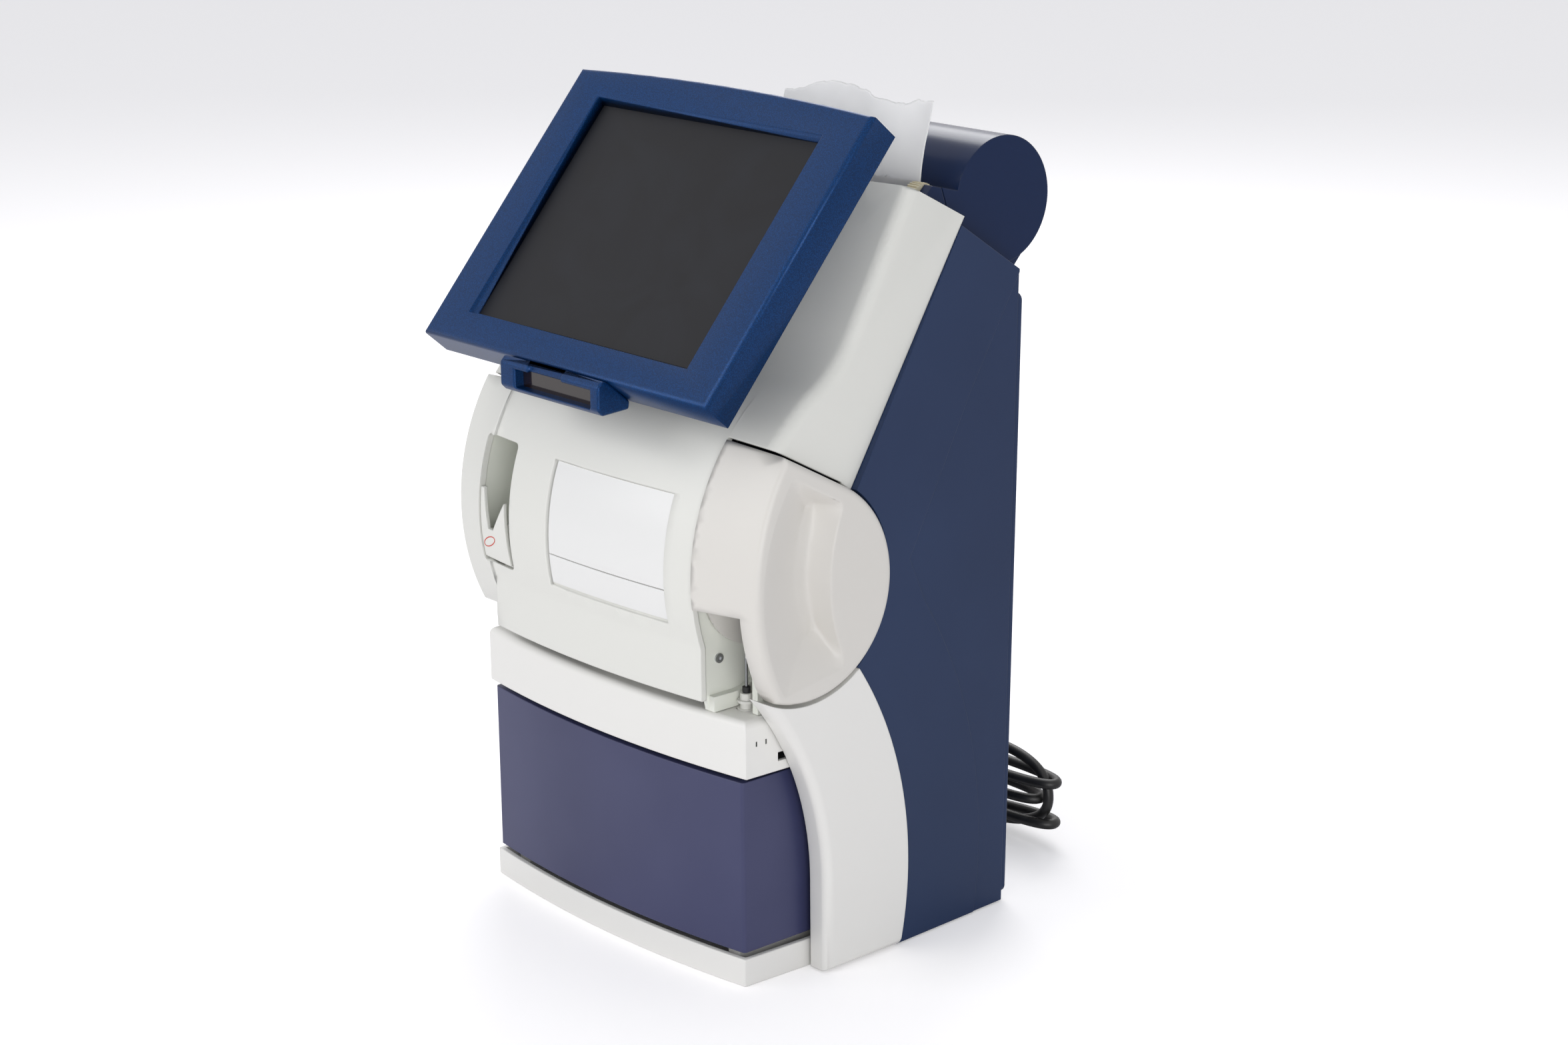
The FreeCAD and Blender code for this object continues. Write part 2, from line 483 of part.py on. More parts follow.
# The front cover: the drum, the hollow corner and the leaning neck as one thin shell.
neck_u = (s.neck_top_y - s.neck_low_y, s.neck_top_z - s.neck_low_z)
neck_length = math.hypot(*neck_u)
neck_u = (neck_u[0] / neck_length, neck_u[1] / neck_length)
neck_n = (-neck_u[1], neck_u[0])
drum_c = (s.drum_y, s.drum_z)
neck_foot = (s.neck_low_y, s.neck_low_z)
# The concave corner between drum and neck touches both: its centre lies one radius off each.
corner_base = moved(neck_foot, neck_n, s.neck_fillet)
corner_c = line_meets(corner_base, neck_u, drum_c, s.drum_radius + s.neck_fillet, True)


def cover_steps(inset, x=0.0):
    """The front line of drum, corner and neck, moved inwards, as it lies at one X."""
    reach = s.drum_radius - inset
    fillet = s.neck_fillet + inset
    lean = math.atan2(corner_c[1] - drum_c[1], corner_c[0] - drum_c[0])
    on_drum = (drum_c[0] + reach * math.cos(lean), drum_c[1] + reach * math.sin(lean))
    on_neck = moved(corner_c, neck_n, -fillet)
    skirt_y = s.skirt_y + inset
    skirt_top = (skirt_y, drum_c[1] - math.sqrt(reach ** 2 - (skirt_y - drum_c[0]) ** 2))
    a0 = math.atan2(skirt_top[1] - drum_c[1], skirt_top[0] - drum_c[0]) % (2 * math.pi)
    mid_drum = on_circle(drum_c[0], drum_c[1], reach, math.degrees((a0 + lean) / 2))
    b0 = math.atan2(on_drum[1] - corner_c[1], on_drum[0] - corner_c[0]) % (2 * math.pi)
    b1 = math.atan2(on_neck[1] - corner_c[1], on_neck[0] - corner_c[0]) % (2 * math.pi)
    mid_corner = on_circle(corner_c[0], corner_c[1], fillet, math.degrees((b0 + b1) / 2))
    top_u = (-neck_n[0], -neck_n[1])
    top_front = moved(moved((s.neck_top_y, s.neck_top_z), neck_u, -inset), top_u, inset)
    points = [(skirt_y, s.skirt_z), skirt_top, mid_drum, on_drum, mid_corner, on_neck, top_front]
    if x:
        points = [(crown_y(p[0], x), p[1]) for p in points]
    low, a, b, c, d, e, f = points
    return [low, a, (b[0], b[1], c[0], c[1]), (d[0], d[1], e[0], e[1]), f]


def front_body(inset, drop):
    """Everything behind the front line, down to a bottom plane and back to a far plane."""
    steps = cover_steps(inset)
    top_front = steps[-1]
    top_back = moved(top_front, (-neck_n[0], -neck_n[1]), s.crown_centre_y / 6)
    low = (steps[0][0], steps[0][1] - drop)
    back = (top_back[0], low[1])
    return crowned([low] + steps[1:] + [top_back, back])


seam_start = on_circle(s.pivot_y, s.pivot_z, s.pod_radius, s.pod_tangent_deg)
seam_u = (-math.sin(math.radians(s.pod_tangent_deg)), math.cos(math.radians(s.pod_tangent_deg)))
seam_n = (math.cos(math.radians(s.pod_tangent_deg)), math.sin(math.radians(s.pod_tangent_deg)))
seam_low = moved(seam_start, seam_n, s.seam_gap)
bound_u = (s.bound_top_y - s.bound_low_y, s.bound_top_z - s.bound_low_z)
bound_length = math.hypot(*bound_u)
bound_u = (bound_u[0] / bound_length, bound_u[1] / bound_length)
bound_low = (s.bound_low_y, s.bound_low_z)
far = s.overrun * 4


def neck_zone(reach, below):
    """The room of the neck seen from the side, between the seam over the handle and the side cover."""
    seam_front = moved(moved(seam_low, seam_u, far), seam_n, -below)
    seam_back = moved(seam_low, seam_n, -below)
    bound_far = moved(bound_low, bound_u, bound_length + far)
    bound_back = moved(bound_low, bound_u, 0)
    steps = [seam_front, seam_back, bound_back, bound_far, (seam_front[0], bound_far[1])]
    return slab(-reach, reach, steps)


drum_zone_steps = [
    (s.skirt_y - s.overrun, s.skirt_z), (s.frame_front_y, s.skirt_z), bound_low,
    moved(bound_low, bound_u, bound_length + far), (s.skirt_y - s.overrun, s.neck_top_z + far),
]
outer_body = front_body(0, 0)
neck = outer_body.common(neck_zone(s.neck_half, 0))
neck = fillet_near(neck, s.neck_round, lambda e: abs(abs(e.CenterOfMass.x) - s.neck_half) < s.seat_gap
                   and e.CenterOfMass.z > s.neck_low_z + s.wall
                   and e.CenterOfMass.y < s.neck_top_y + s.wall + (e.CenterOfMass.z - s.neck_top_z) / 2)
drum = outer_body.common(slab(s.drum_left_x, s.drum_right_x, drum_zone_steps))


def shoulder(inset, x_end):
    """The blend over the handle, from the drum's line to the neck's side edge."""
    x_start = s.drum_right_x
    sunk = inset + s.fit_gap
    near = cover_steps(sunk, x_start)
    c = (crown_y(s.drum_y - s.drum_radius, x_start) + s.drum_radius, s.drum_z)
    start = line_meets(seam_low, seam_u, c, s.drum_radius - sunk, True)
    a0 = math.degrees(math.atan2(start[1] - c[1], start[0] - c[0]))
    a1 = math.degrees(math.atan2(near[2][3] - c[1], near[2][2] - c[0]))
    arc_mid = on_circle(c[0], c[1], s.drum_radius - sunk, (a0 + a1) / 2)
    back = moved(seam_low, seam_n, s.wall)
    first = [start, (arc_mid[0], arc_mid[1], near[2][2], near[2][3]), near[3], near[4], back]
    side = cover_steps(inset + s.shoulder_inset, s.shoulder_x)
    top = side[4]
    foot_y = crown_y(s.neck_low_y, s.shoulder_x) + (inset + s.shoulder_inset) / neck_u[1]
    foot = (foot_y, s.neck_low_z)
    u = (top[0] - foot[0], top[1] - foot[1])
    full = math.hypot(*u)
    u = (u[0] / full, u[1] / full)
    line = [moved(foot, u, full * share) for share in shoulder_shares]
    second = line + [back]
    wires = []
    for x, steps in ((x_start, first), (x_end, second)):
        wires.append(wire_at(x, steps))
    return Part.makeLoft(wires, True, True)


shoulder_right = shoulder(0, s.shoulder_x)


def pod_steps(x, inset):
    """The handle's side outline: round behind and below, a straight top, a bowed front."""
    share = (x - s.pod_in_x) / (s.pod_out_x - s.pod_in_x)
    if share < 0.5:
        c, r = (s.pod_inner_y, s.drum_z), s.drum_radius - inset
    else:
        c, r = (s.pod_front_y, s.pod_front_z), s.pod_front_radius - inset
    ring = s.pod_radius - inset
    pivot = (s.pivot_y, s.pivot_z)
    low = circles_meet(pivot, ring, c, r, True)
    tangent = on_circle(s.pivot_y, s.pivot_z, ring, s.pod_tangent_deg)
    high = line_meets(tangent, seam_u, c, r, True)
    a0 = math.degrees(math.atan2(low[1] - pivot[1], low[0] - pivot[0])) % 360
    mid = on_circle(s.pivot_y, s.pivot_z, ring, (a0 + 360 + s.pod_tangent_deg) / 2)
    b0 = math.degrees(math.atan2(high[1] - c[1], high[0] - c[0])) % 360
    b1 = math.degrees(math.atan2(low[1] - c[1], low[0] - c[0])) % 360
    front = on_circle(c[0], c[1], r, (b0 + b1) / 2)
    return [low, (mid[0], mid[1], tangent[0], tangent[1]), high, (front[0], front[1], low[0], low[1])]


def pod_body(inset, x0, x1):
    wires = [wire_at(x0, pod_steps(s.pod_in_x, inset)), wire_at(x1, pod_steps(s.pod_out_x, inset))]
    return Part.makeLoft(wires, True, True)


pod_outer = pod_body(0, s.pod_in_x, s.pod_out_x)
pod_outer = fillet_near(pod_outer, s.pod_round, lambda e: abs(e.CenterOfMass.x - s.pod_out_x) < s.fit_gap)
pod_void = pod_body(s.wall, s.pod_in_x - s.wall, s.pod_out_x - s.wall)
bulge = mirrored(pod_outer)
bulge_void = mirrored(pod_body(s.wall, s.pod_in_x - s.seam_gap * 2, s.pod_out_x - s.wall))

inner_body = front_body(s.wall, s.overrun)
inner_neck = inner_body.common(neck_zone(s.neck_half - s.wall, s.overrun))
inner_drum = inner_body.common(box(s.drum_left_x, s.drum_right_x - s.wall, -s.crown_centre_y,
                                   s.crown_centre_y,
                                   0, s.crown_centre_y))
flange_void = front_body(s.wall, s.overrun)
flange_void = flange_void.common(box(s.drum_left_x, s.drum_right_x + s.wall, -s.crown_centre_y,
                                     s.crown_centre_y, 0, s.crown_centre_y))
shoulder_void = shoulder(s.wall, s.shoulder_x)

cover = neck.fuse([drum, shoulder_right, mirrored(shoulder_right), bulge])
cover = cover.cut([inner_neck, inner_drum, flange_void])
cover = cover.cut([shoulder_void, mirrored(shoulder_void), bulge_void])
# The mixer window, the shallow seat of the two front plates and the printer's opening.
window = box(s.window_left_x, s.window_right_x, -s.crown_centre_y, s.drum_y - s.drum_radius / 2,
             s.window_low_z, s.window_top_z)
window = fillet_near(window, s.window_round, lambda e: abs(e.Vertexes[0].Y - e.Vertexes[-1].Y) > s.overrun)
cover = cover.cut(window)


def drum_ring(inset, depth, x0, x1, z0, z1):
    """A curved sheet at some depth under the drum's surface."""
    ring_steps = []
    for r, flip in ((s.drum_radius - inset, False), (s.drum_radius - inset - depth, True)):
        ends = [(arc_y(drum_c[0], drum_c[1], r, z, -1), z) for z in (z0, (z0 + z1) / 2, z1)]
        ring_steps.append(ends[::-1] if flip else ends)
    (a, b, c), (d, e, f) = ring_steps
    body = crowned([a, (b[0], b[1], c[0], c[1]), d, (e[0], e[1], f[0], f[1])])
    return body.common(box(x0, x1, -s.crown_centre_y, 0, z0 - s.wall, z1 + s.wall))


recess = drum_ring(-s.wall, s.wall + s.label_recess, s.label_left_x - s.label_margin, s.label_right_x,
                   s.label_low_z - s.label_margin, s.label_top_z)
cover = cover.cut(recess)
top_opening = box(-s.top_open_half, s.top_open_half, s.top_open_y, s.crown_centre_y, s.bound_low_z,
                  s.crown_centre_y)
cover = cover.cut(top_opening)
# Ribs inside the neck's sides rest against the frame.
rib_steps = [
    (s.frame_waist_y + s.wall, s.frame_waist_high_z + s.overrun / 2),
    (s.frame_top_y - s.wall * 3, s.frame_top_z - s.overrun * 1.5),
    (s.frame_top_y - s.wall * 3, s.frame_top_z - s.overrun),
    (s.frame_waist_y + s.wall, s.frame_waist_high_z + s.overrun),
]
rib = slab(s.frame_outer + s.seat_gap, s.neck_half - s.wall, rib_steps)
cover = cover.fuse([rib, mirrored(rib)])
# The neck's lower corners give way to the handle's round back.
cover = cover.cut(rod(s.drum_right_x + s.wall, s.neck_half + s.wall, s.pivot_y, s.pivot_z,
                      s.pod_radius + s.seat_gap * 2))
keep("front_cover", cover)
plate_seat = s.label_recess - s.label_sheet
front_plate = drum_ring(plate_seat, s.label_sheet, s.label_left_x, s.label_right_x - s.seat_gap,
                        s.label_split_z + s.seat_gap, s.label_top_z - s.seat_gap)
keep("front_plate", front_plate)
lower_flap = drum_ring(plate_seat, s.label_sheet, s.label_left_x, s.label_right_x - s.seat_gap,
                       s.label_low_z, s.label_split_z - s.seat_gap)
keep("lower_flap", lower_flap)

# A thin shell with a deep moulded grip in its side; its lower front is cut back to a tongue.


def grip_steps(grow, depth):
    """The grip's outline at some depth under the side face; its front wall leans far back."""
    share = depth / s.grip_depth
    mid_z = (s.well_top_z + s.well_low_z) / 2
    rim = [(s.grip_top_front_y - grow, s.grip_top_front_z + grow),
           (s.grip_top_back_y + grow, s.grip_top_back_z + grow),
           (s.grip_back_y + grow, s.grip_back_z), (s.grip_low_back_y + grow, s.grip_low_back_z - grow),
           (s.grip_low_front_y - grow, s.grip_low_front_z - grow), (s.grip_front_y - grow, s.grip_front_z)]
    well = [(s.well_top_front_y - grow, s.well_top_z + grow),
            (s.well_top_back_y + grow, s.well_top_z + grow),
            (s.well_back_y + grow, mid_z), (s.well_low_back_y + grow, s.well_low_z - grow),
            (s.well_low_front_y - grow, s.well_low_z - grow), (s.well_front_y - grow, mid_z)]
    now = [(a[0] + (b[0] - a[0]) * share, a[1] + (b[1] - a[1]) * share) for a, b in zip(rim, well)]
    top_front, top_back, back, low_back, low_front, front = now
    return [top_front, top_back, back + low_back, low_front, front + top_front]


def grip_body(grow):
    outlines = []
    for depth in (-s.wall, s.grip_depth + grow):
        outlines.append(wire_at(s.pod_out_x - depth, grip_steps(grow, depth - max(grow, 0) * (depth > 0))))
    return Part.makeLoft(outlines, True, True)


grip = grip_body(0)
grip = fillet_near(grip, s.grip_floor_round, lambda e: e.CenterOfMass.x < s.pod_out_x - s.grip_depth / 3)
grip_wall = grip_body(s.grip_wall)
handle_void = pod_void.cut(grip_wall)
handle = pod_outer.cut(handle_void).cut(grip)
# The cut-back: everything inside the tongue goes below the notch line.
notch_front = s.pivot_y - s.pod_front_radius
tip_x = s.notch_tip_x
corners = [V(s.pod_in_x - s.wall, notch_front, s.notch_top_z), V(s.notch_x, notch_front, s.notch_top_z),
           V(s.notch_x, notch_front, s.notch_bend_z), V(tip_x, notch_front, s.notch_tip_z),
           V(tip_x, notch_front, s.notch_tip_z - s.wall * 2),
           V(s.pod_in_x - s.wall, notch_front, s.notch_tip_z - s.wall * 2)]
bend_mid = V(s.notch_x + (tip_x - s.notch_x) / 4, notch_front,
             s.notch_tip_z + (s.notch_bend_z - s.notch_tip_z) / 3)
notch_edges = [Part.makePolygon(corners[:3]), Part.Arc(corners[2], bend_mid, corners[3]).toShape(),
               Part.makePolygon(corners[3:] + [corners[0]])]
notch_wire = Part.Wire(notch_edges[0].Edges + notch_edges[1].Edges + notch_edges[2].Edges)
notch = Part.Face(notch_wire).extrude(V(0, s.notch_back_y - notch_front, 0))
lower_void = box(s.pod_in_x - s.wall, s.notch_x - s.wall * 2, s.notch_back_y - s.wall,
                 s.pivot_y + s.pod_radius + s.wall, 0, s.pivot_z - s.pod_radius / 2)
handle = handle.cut([notch.cut(grip_wall), lower_void.cut(grip_wall)])
handle = max(handle.Solids, key=lambda solid: solid.Volume)
handle = fillet_near(handle, s.grip_rim_round, lambda e: abs(e.CenterOfMass.x - s.pod_out_x) < s.fit_gap
                     and e.BoundBox.YMin > s.grip_front_y - s.wall
                     and e.BoundBox.YMax < s.grip_low_back_y + s.wall
                     and e.BoundBox.ZMax < s.grip_top_front_z + s.wall
                     and e.BoundBox.ZMin > s.grip_low_front_z - s.wall)
hub = rod(s.disc_in_x, s.pod_out_x - s.grip_depth - s.grip_wall, s.pivot_y, s.pivot_z, s.hub_radius)
disc = rod(s.disc_in_x, s.disc_out_x, s.pivot_y, s.pivot_z, s.disc_radius)
pin_end = s.disc_out_x + s.hub_radius
hub_bore = rod(s.disc_in_x - s.wall, pin_end + s.seam_gap, s.pivot_y, s.pivot_z, s.pin_radius + s.fit_gap)
keep("handle_shell", handle)
keep("handle_disc", disc.fuse(hub).removeSplitter().cut(hub_bore))
keep("handle_pivot", rod(s.plate_out_x, pin_end, s.pivot_y, s.pivot_z, s.pin_radius))

# The bay's side plate, its wavy foot, the probe's post and the wash port.
plate_radius = s.drum_radius - s.wall * 2
plate_arc = [(arc_y(s.pod_inner_y, s.drum_z, plate_radius, z, -1), z)
             for z in (s.plate_high_z, (s.plate_high_z + s.plate_front_z) / 2, s.plate_front_z)]
bay_steps = [
    plate_arc[0], plate_arc[1] + plate_arc[2], (s.plate_waist_y, s.plate_waist_z),
    (s.plate_low_y, s.plate_low_z),
    (s.wave_front_y, s.plate_foot_z), (s.foot_back_y, s.plate_foot_z), (s.plate_back_y, s.plate_low_z),
    (s.plate_back_y, s.plate_high_z),
]
bay_plate = slab(s.plate_in_x, s.plate_out_x, bay_steps)
foot_y0 = s.wave_front_y
foot_y1 = s.foot_back_y
wave_y = [foot_y0 + (foot_y1 - foot_y0) * share for share in wave_shares]
wave_steps = [
    (foot_y0, s.plate_foot_z), (foot_y1, s.plate_foot_z), (foot_y1, s.plate_low_z),
    (wave_y[4], s.plate_low_z),
    (wave_y[3], s.plate_low_z - s.wall / 2, wave_y[2], s.wave_z + s.wall),
    (wave_y[1], s.wave_z + s.wall / 3, wave_y[0], s.wave_z),
    (foot_y0, s.wave_z),
]
wave = slab(s.plate_out_x, s.wave_x, wave_steps)
post = box(s.post_in_x, s.post_out_x, s.post_front_y, s.post_back_y, s.plate_foot_z, s.post_high_z)
strip_back_y = s.hole_y + s.hole_radius + s.post_out_x - s.post_in_x + s.wall
post_foot = box(s.post_in_x, s.post_out_x, s.post_front_y, strip_back_y, s.plate_foot_z,
                s.plate_foot_z + s.wall / 2)
strip = box(s.plate_out_x, s.post_out_x, strip_back_y - s.post_out_x + s.post_in_x, strip_back_y,
            s.plate_foot_z,
            s.plate_foot_z + s.wall / 2)
bay_floor = box(s.plate_in_x - s.overrun, s.plate_in_x, s.wave_front_y + s.overrun / 2, s.foot_back_y,
                s.plate_foot_z, s.plate_foot_z + s.wall)
bay_sole = box(s.plate_in_x, s.wave_x, s.wave_front_y, s.foot_back_y, s.plate_foot_z,
               s.plate_foot_z + s.wall / 2)
bay = bay_plate.fuse([wave, post, post_foot, strip, bay_floor, bay_sole]).removeSplitter()
screw_hole = rod(s.plate_in_x, s.plate_out_x, s.screw_y, s.screw_z, s.small_screw_radius / 2)
keep("inlet_bracket", bay.cut(screw_hole))
screw_head = rod(s.plate_out_x, s.plate_out_x + s.small_screw_head, s.screw_y, s.screw_z,
                 s.small_screw_radius)
socket_wire = []
for k in range(6):
    a = math.radians(60 * k)
    socket_wire.append(V(s.plate_out_x + s.small_screw_head,
                         s.screw_y + s.small_screw_radius / 2 * math.cos(a),
                         s.screw_z + s.small_screw_radius / 2 * math.sin(a)))
socket = Part.Face(Part.makePolygon(socket_wire + [socket_wire[0]])).extrude(
    V(-s.small_screw_head * screw_socket_share, 0, 0))
keep("bracket_screw", screw_head.fuse(screw_hole).cut(socket).removeSplitter())

wash = Part.makeCylinder(s.wash_radius, s.wash_top_z - s.wash_low_z, V(s.hole_x, s.hole_y, s.wash_low_z))
wash_ring = Part.makeCylinder(s.wash_flange, s.wash_flange_sheet, V(s.hole_x, s.hole_y, s.wash_flange_z))
wash_stem = Part.makeCylinder(s.hole_radius - s.seat_gap, s.ledge_top_z + s.seat_gap - s.wash_low_z,
                              V(s.hole_x, s.hole_y, s.wash_low_z))
wash_bore = Part.makeCylinder(s.needle_radius + s.seat_gap, s.overrun * 2,
                              V(s.hole_x, s.hole_y, s.wash_low_z - s.wall))
keep("wash_port", wash.fuse([wash_ring, wash_stem]).removeSplitter().cut(wash_bore))
seal = Part.makeCylinder(s.seal_radius, s.seal_top_z - s.wash_top_z, V(s.hole_x, s.hole_y, s.wash_top_z))
seal_hole = Part.makeCylinder(s.needle_radius + s.fit_gap, s.overrun,
                              V(s.hole_x, s.hole_y, s.wash_top_z - s.wall))
keep("port_seal", seal.cut(seal_hole))
needle = sheet_cylinder("Needle", z_axis, "Sizes.needle_radius", "Sizes.needle_high_z - Sizes.needle_low_z",
                        "Sizes.hole_x", "Sizes.hole_y", "Sizes.needle_low_z")
finish(needle, "probe_needle")
carrier = box(s.carrier_in_x, s.post_in_x, s.post_front_y, s.carrier_back_y, s.carrier_low_z,
              s.carrier_high_z)
sleeve_room = s.sleeve_wall + s.seat_gap
sleeve = box(s.post_in_x - sleeve_room, s.post_out_x + sleeve_room, s.post_front_y - sleeve_room,
             s.post_back_y + sleeve_room, s.sleeve_low_z, s.carrier_high_z)
sleeve_bore = box(s.post_in_x - s.seat_gap, s.post_out_x + s.seat_gap, s.post_front_y - s.seat_gap,
                  s.post_back_y + s.seat_gap, s.sleeve_low_z - s.wall, s.carrier_high_z + s.wall)
carrier_bore = Part.makeCylinder(s.needle_radius, s.needle_high_z - s.carrier_low_z + s.wall,
                                 V(s.hole_x, s.hole_y, s.carrier_low_z - s.wall))
keep("probe_carrier", carrier.fuse(sleeve).removeSplitter().cut([carrier_bore, sleeve_bore]))

# A curved shield with a notch and a long slot, a trough behind it and an arm to its pin.
shield = drum_ring(s.seat_gap, s.cradle_skin, s.cradle_left_x, s.cradle_right_x, s.cradle_low_z,
                   s.cradle_high_z)
notch_points = [
    (s.cradle_left_x + s.wall, s.cradle_high_z + s.wall), (s.notch_mid_x - s.notch_half, s.notch_z),
    (s.notch_mid_x + s.notch_half, s.notch_z), (s.cradle_right_x, s.cradle_high_z + s.wall),
]
slot_points = [
    (s.slot_x, s.slot_low_z), (s.cradle_right_x + s.wall, s.slot_low_z),
    (s.cradle_right_x + s.wall, s.cradle_high_z),
    (s.slot_x - s.wall, s.cradle_high_z),
]
for points in (notch_points, slot_points):
    corners = [V(x, -s.crown_centre_y, z) for x, z in points]
    cutter = Part.Face(Part.makePolygon(corners + [corners[0]])).extrude(V(0, s.crown_centre_y, 0))
    shield = shield.cut(cutter)
shield = max(shield.Solids, key=lambda solid: solid.Volume)
trough_front_y = arc_y(drum_c[0], drum_c[1], s.drum_radius, s.trough_z, -1) + s.cradle_skin * 4
trough_start = V(s.arm_x, trough_front_y, s.trough_z)
trough_cup = Part.makeCylinder(s.trough_bore + s.cradle_skin, s.trough_length, trough_start, y_axis)
trough_cup = trough_cup.cut(Part.makeCylinder(s.trough_bore, s.trough_length, trough_start, y_axis))
trough_cup = trough_cup.cut(box(s.arm_x - s.overrun, s.arm_x + s.overrun, -s.crown_centre_y, 0, s.trough_z,
                                s.trough_z + s.overrun * 2))
arm_low_z = s.trough_z - s.trough_bore - s.cradle_skin
arm_front_y = arc_y(drum_c[0], drum_c[1], s.drum_radius - s.cradle_skin, arm_low_z,
                    -1) + s.cradle_skin * 2.5
trough_end_y = trough_start.y + s.trough_length
arm_points = [
    (arm_front_y, arm_low_z), (trough_end_y, arm_low_z), (s.mixer_y, s.mixer_z - s.cradle_hub),
    (s.mixer_y, s.mixer_z + s.cradle_hub), (trough_end_y, s.trough_z - s.trough_bore / 3),
    (trough_end_y - s.cradle_skin, arm_low_z + s.cradle_skin), (arm_front_y, arm_low_z + s.cradle_skin),
]
arm = slab(s.arm_x - s.arm_sheet / 2, s.arm_x + s.arm_sheet / 2, arm_points)
hub_ring = rod(s.arm_x - s.wall, s.arm_x + s.wall, s.mixer_y, s.mixer_z, s.cradle_hub)
web = box(s.arm_x - s.arm_sheet / 2, s.arm_x + s.arm_sheet / 2, arm_front_y - s.wall * 2,
          trough_start.y + s.wall,
          arm_low_z, arm_low_z + s.cradle_skin * 2)
cradle = shield.fuse([trough_cup, arm, hub_ring, web])
cradle = cradle.cut(rod(s.arm_x - s.wall * 2, s.arm_x + s.wall * 2, s.mixer_y, s.mixer_z,
                        s.cradle_pin_radius + s.fit_gap))
# Nothing of it may stand out in front of the drum's surface.
front_limit = drum_ring(-s.overrun, s.overrun + s.seat_gap, s.cradle_left_x - s.wall,
                        s.cradle_right_x + s.wall,
                        s.window_low_z - s.wall, s.window_top_z)
keep("mixer_cradle", cradle.cut(front_limit))
mixer_right = s.arm_x + s.wall + s.seat_gap
bay_cheek = box(mixer_right, mixer_right + s.arm_sheet, s.mixer_wall_y, s.mixer_back_y, s.deck_z,
                s.mixer_z + s.cradle_hub)
bay_foot = box(mixer_right, mixer_right + s.overrun, s.mixer_y - s.cradle_hub, s.mixer_back_y, s.deck_z,
               s.deck_z + s.frame_sheet)
bay_pin = rod(s.arm_x - s.wall, mixer_right, s.mixer_y, s.mixer_z, s.cradle_pin_radius)
# A liner open to the window and below it: two cheeks, a roof and a back wall with a slot for the arm.
liner_low_z = s.window_low_z - s.wall
liner_high_z = s.window_top_z + s.wall
liner_left = s.window_left_x - s.wall
liner_right = s.window_right_x + s.wall
liner = box(liner_left - s.frame_sheet, liner_right + s.frame_sheet, -s.crown_centre_y, s.mixer_wall_y,
            liner_low_z, liner_high_z + s.frame_sheet)
liner = liner.cut(box(liner_left, liner_right, -s.crown_centre_y, s.mixer_wall_y - s.frame_sheet,
                      liner_low_z - s.wall, liner_high_z))
arm_slot = box(mixer_right - s.wall * 3, mixer_right, s.mixer_wall_y - s.wall, s.mixer_wall_y + s.wall,
               liner_low_z - s.wall, s.mixer_z + s.cradle_hub)
liner = liner.cut(arm_slot)
liner_room = front_body(s.wall + s.seat_gap, s.overrun).common(
    box(liner_right - s.overrun * 2, liner_right + s.overrun, -s.crown_centre_y, 0, 0, s.crown_centre_y))
liner_pod = mirrored(pod_body(s.wall + s.seat_gap, s.drum_right_x - s.wall * 2, s.pod_out_x - s.wall * 2))
inner_left = liner_right - s.overrun - s.wall * 2
liner_room = liner_room.common(box(inner_left, s.overrun, -s.crown_centre_y, 0, 0, s.crown_centre_y))
liner_side = liner.common(box(-s.crown_centre_y, inner_left, -s.crown_centre_y, s.crown_centre_y, 0,
                              s.crown_centre_y))
liner_middle = liner.common(box(inner_left, s.overrun, -s.crown_centre_y, s.crown_centre_y, 0,
                                s.crown_centre_y))
liner = liner_side.common(liner_pod).fuse(liner_middle.common(liner_room))
keep("mixer_bay", bay_cheek.fuse([bay_foot, bay_pin, liner]).removeSplitter())

# The arch trims hug the handle's round back, and the side covers lie behind them.


pivot = (s.pivot_y, s.pivot_z)
arch_c = (s.arch_front_y, s.arch_front_z)
rear_c = (s.arch_back_y, s.arch_back_z)
arch_high = circles_meet(arch_c, s.arch_front_radius, pivot, s.seam_radius, True)
rear_high = circles_meet(rear_c, s.arch_back_radius, pivot, s.seam_radius, True)


def angle_at(c, p):
    return math.degrees(math.atan2(p[1] - c[1], p[0] - c[0]))


front_mid = on_circle(arch_c[0], arch_c[1], s.arch_front_radius, angle_at(arch_c, arch_high) / 2)
rear_low = (arc_y(rear_c[0], rear_c[1], s.arch_back_radius, s.floor_lift, 1), s.floor_lift)
rear_mid = on_circle(rear_c[0], rear_c[1], s.arch_back_radius,
                     (angle_at(rear_c, rear_high) + angle_at(rear_c, rear_low)) / 2)
seam_mid = on_circle(pivot[0], pivot[1], s.seam_radius,
                     (angle_at(pivot, arch_high) + angle_at(pivot, rear_high)) / 2)
arch_front_foot = (s.arch_front_y + s.arch_front_radius, s.arch_front_z)
arch_steps = [
    (arch_front_foot[0], s.floor_lift), arch_front_foot,
    (front_mid[0], front_mid[1], arch_high[0], arch_high[1]),
    (seam_mid[0], seam_mid[1], rear_high[0], rear_high[1]),
    (rear_mid[0], rear_mid[1], rear_low[0], rear_low[1]),
]
arch = slab(s.side_in_x, s.arch_out_x, arch_steps)
arch = fillet_near(arch, s.arch_round, lambda e: abs(e.CenterOfMass.x - s.arch_out_x) < s.fit_gap
                   and e.CenterOfMass.y < s.arch_back_y + s.arch_back_radius - s.overrun
                   and math.dist((e.CenterOfMass.y, e.CenterOfMass.z), pivot) > s.seam_radius + s.wall)
arch_void_wire = wire_at(s.side_in_x - s.wall, arch_steps).makeOffset2D(-s.wall, 2)
arch_void = Part.Face(arch_void_wire).extrude(V(s.arch_out_x - s.side_in_x, 0, 0))
arch = arch.cut(arch_void)
keep("arch_right", arch)
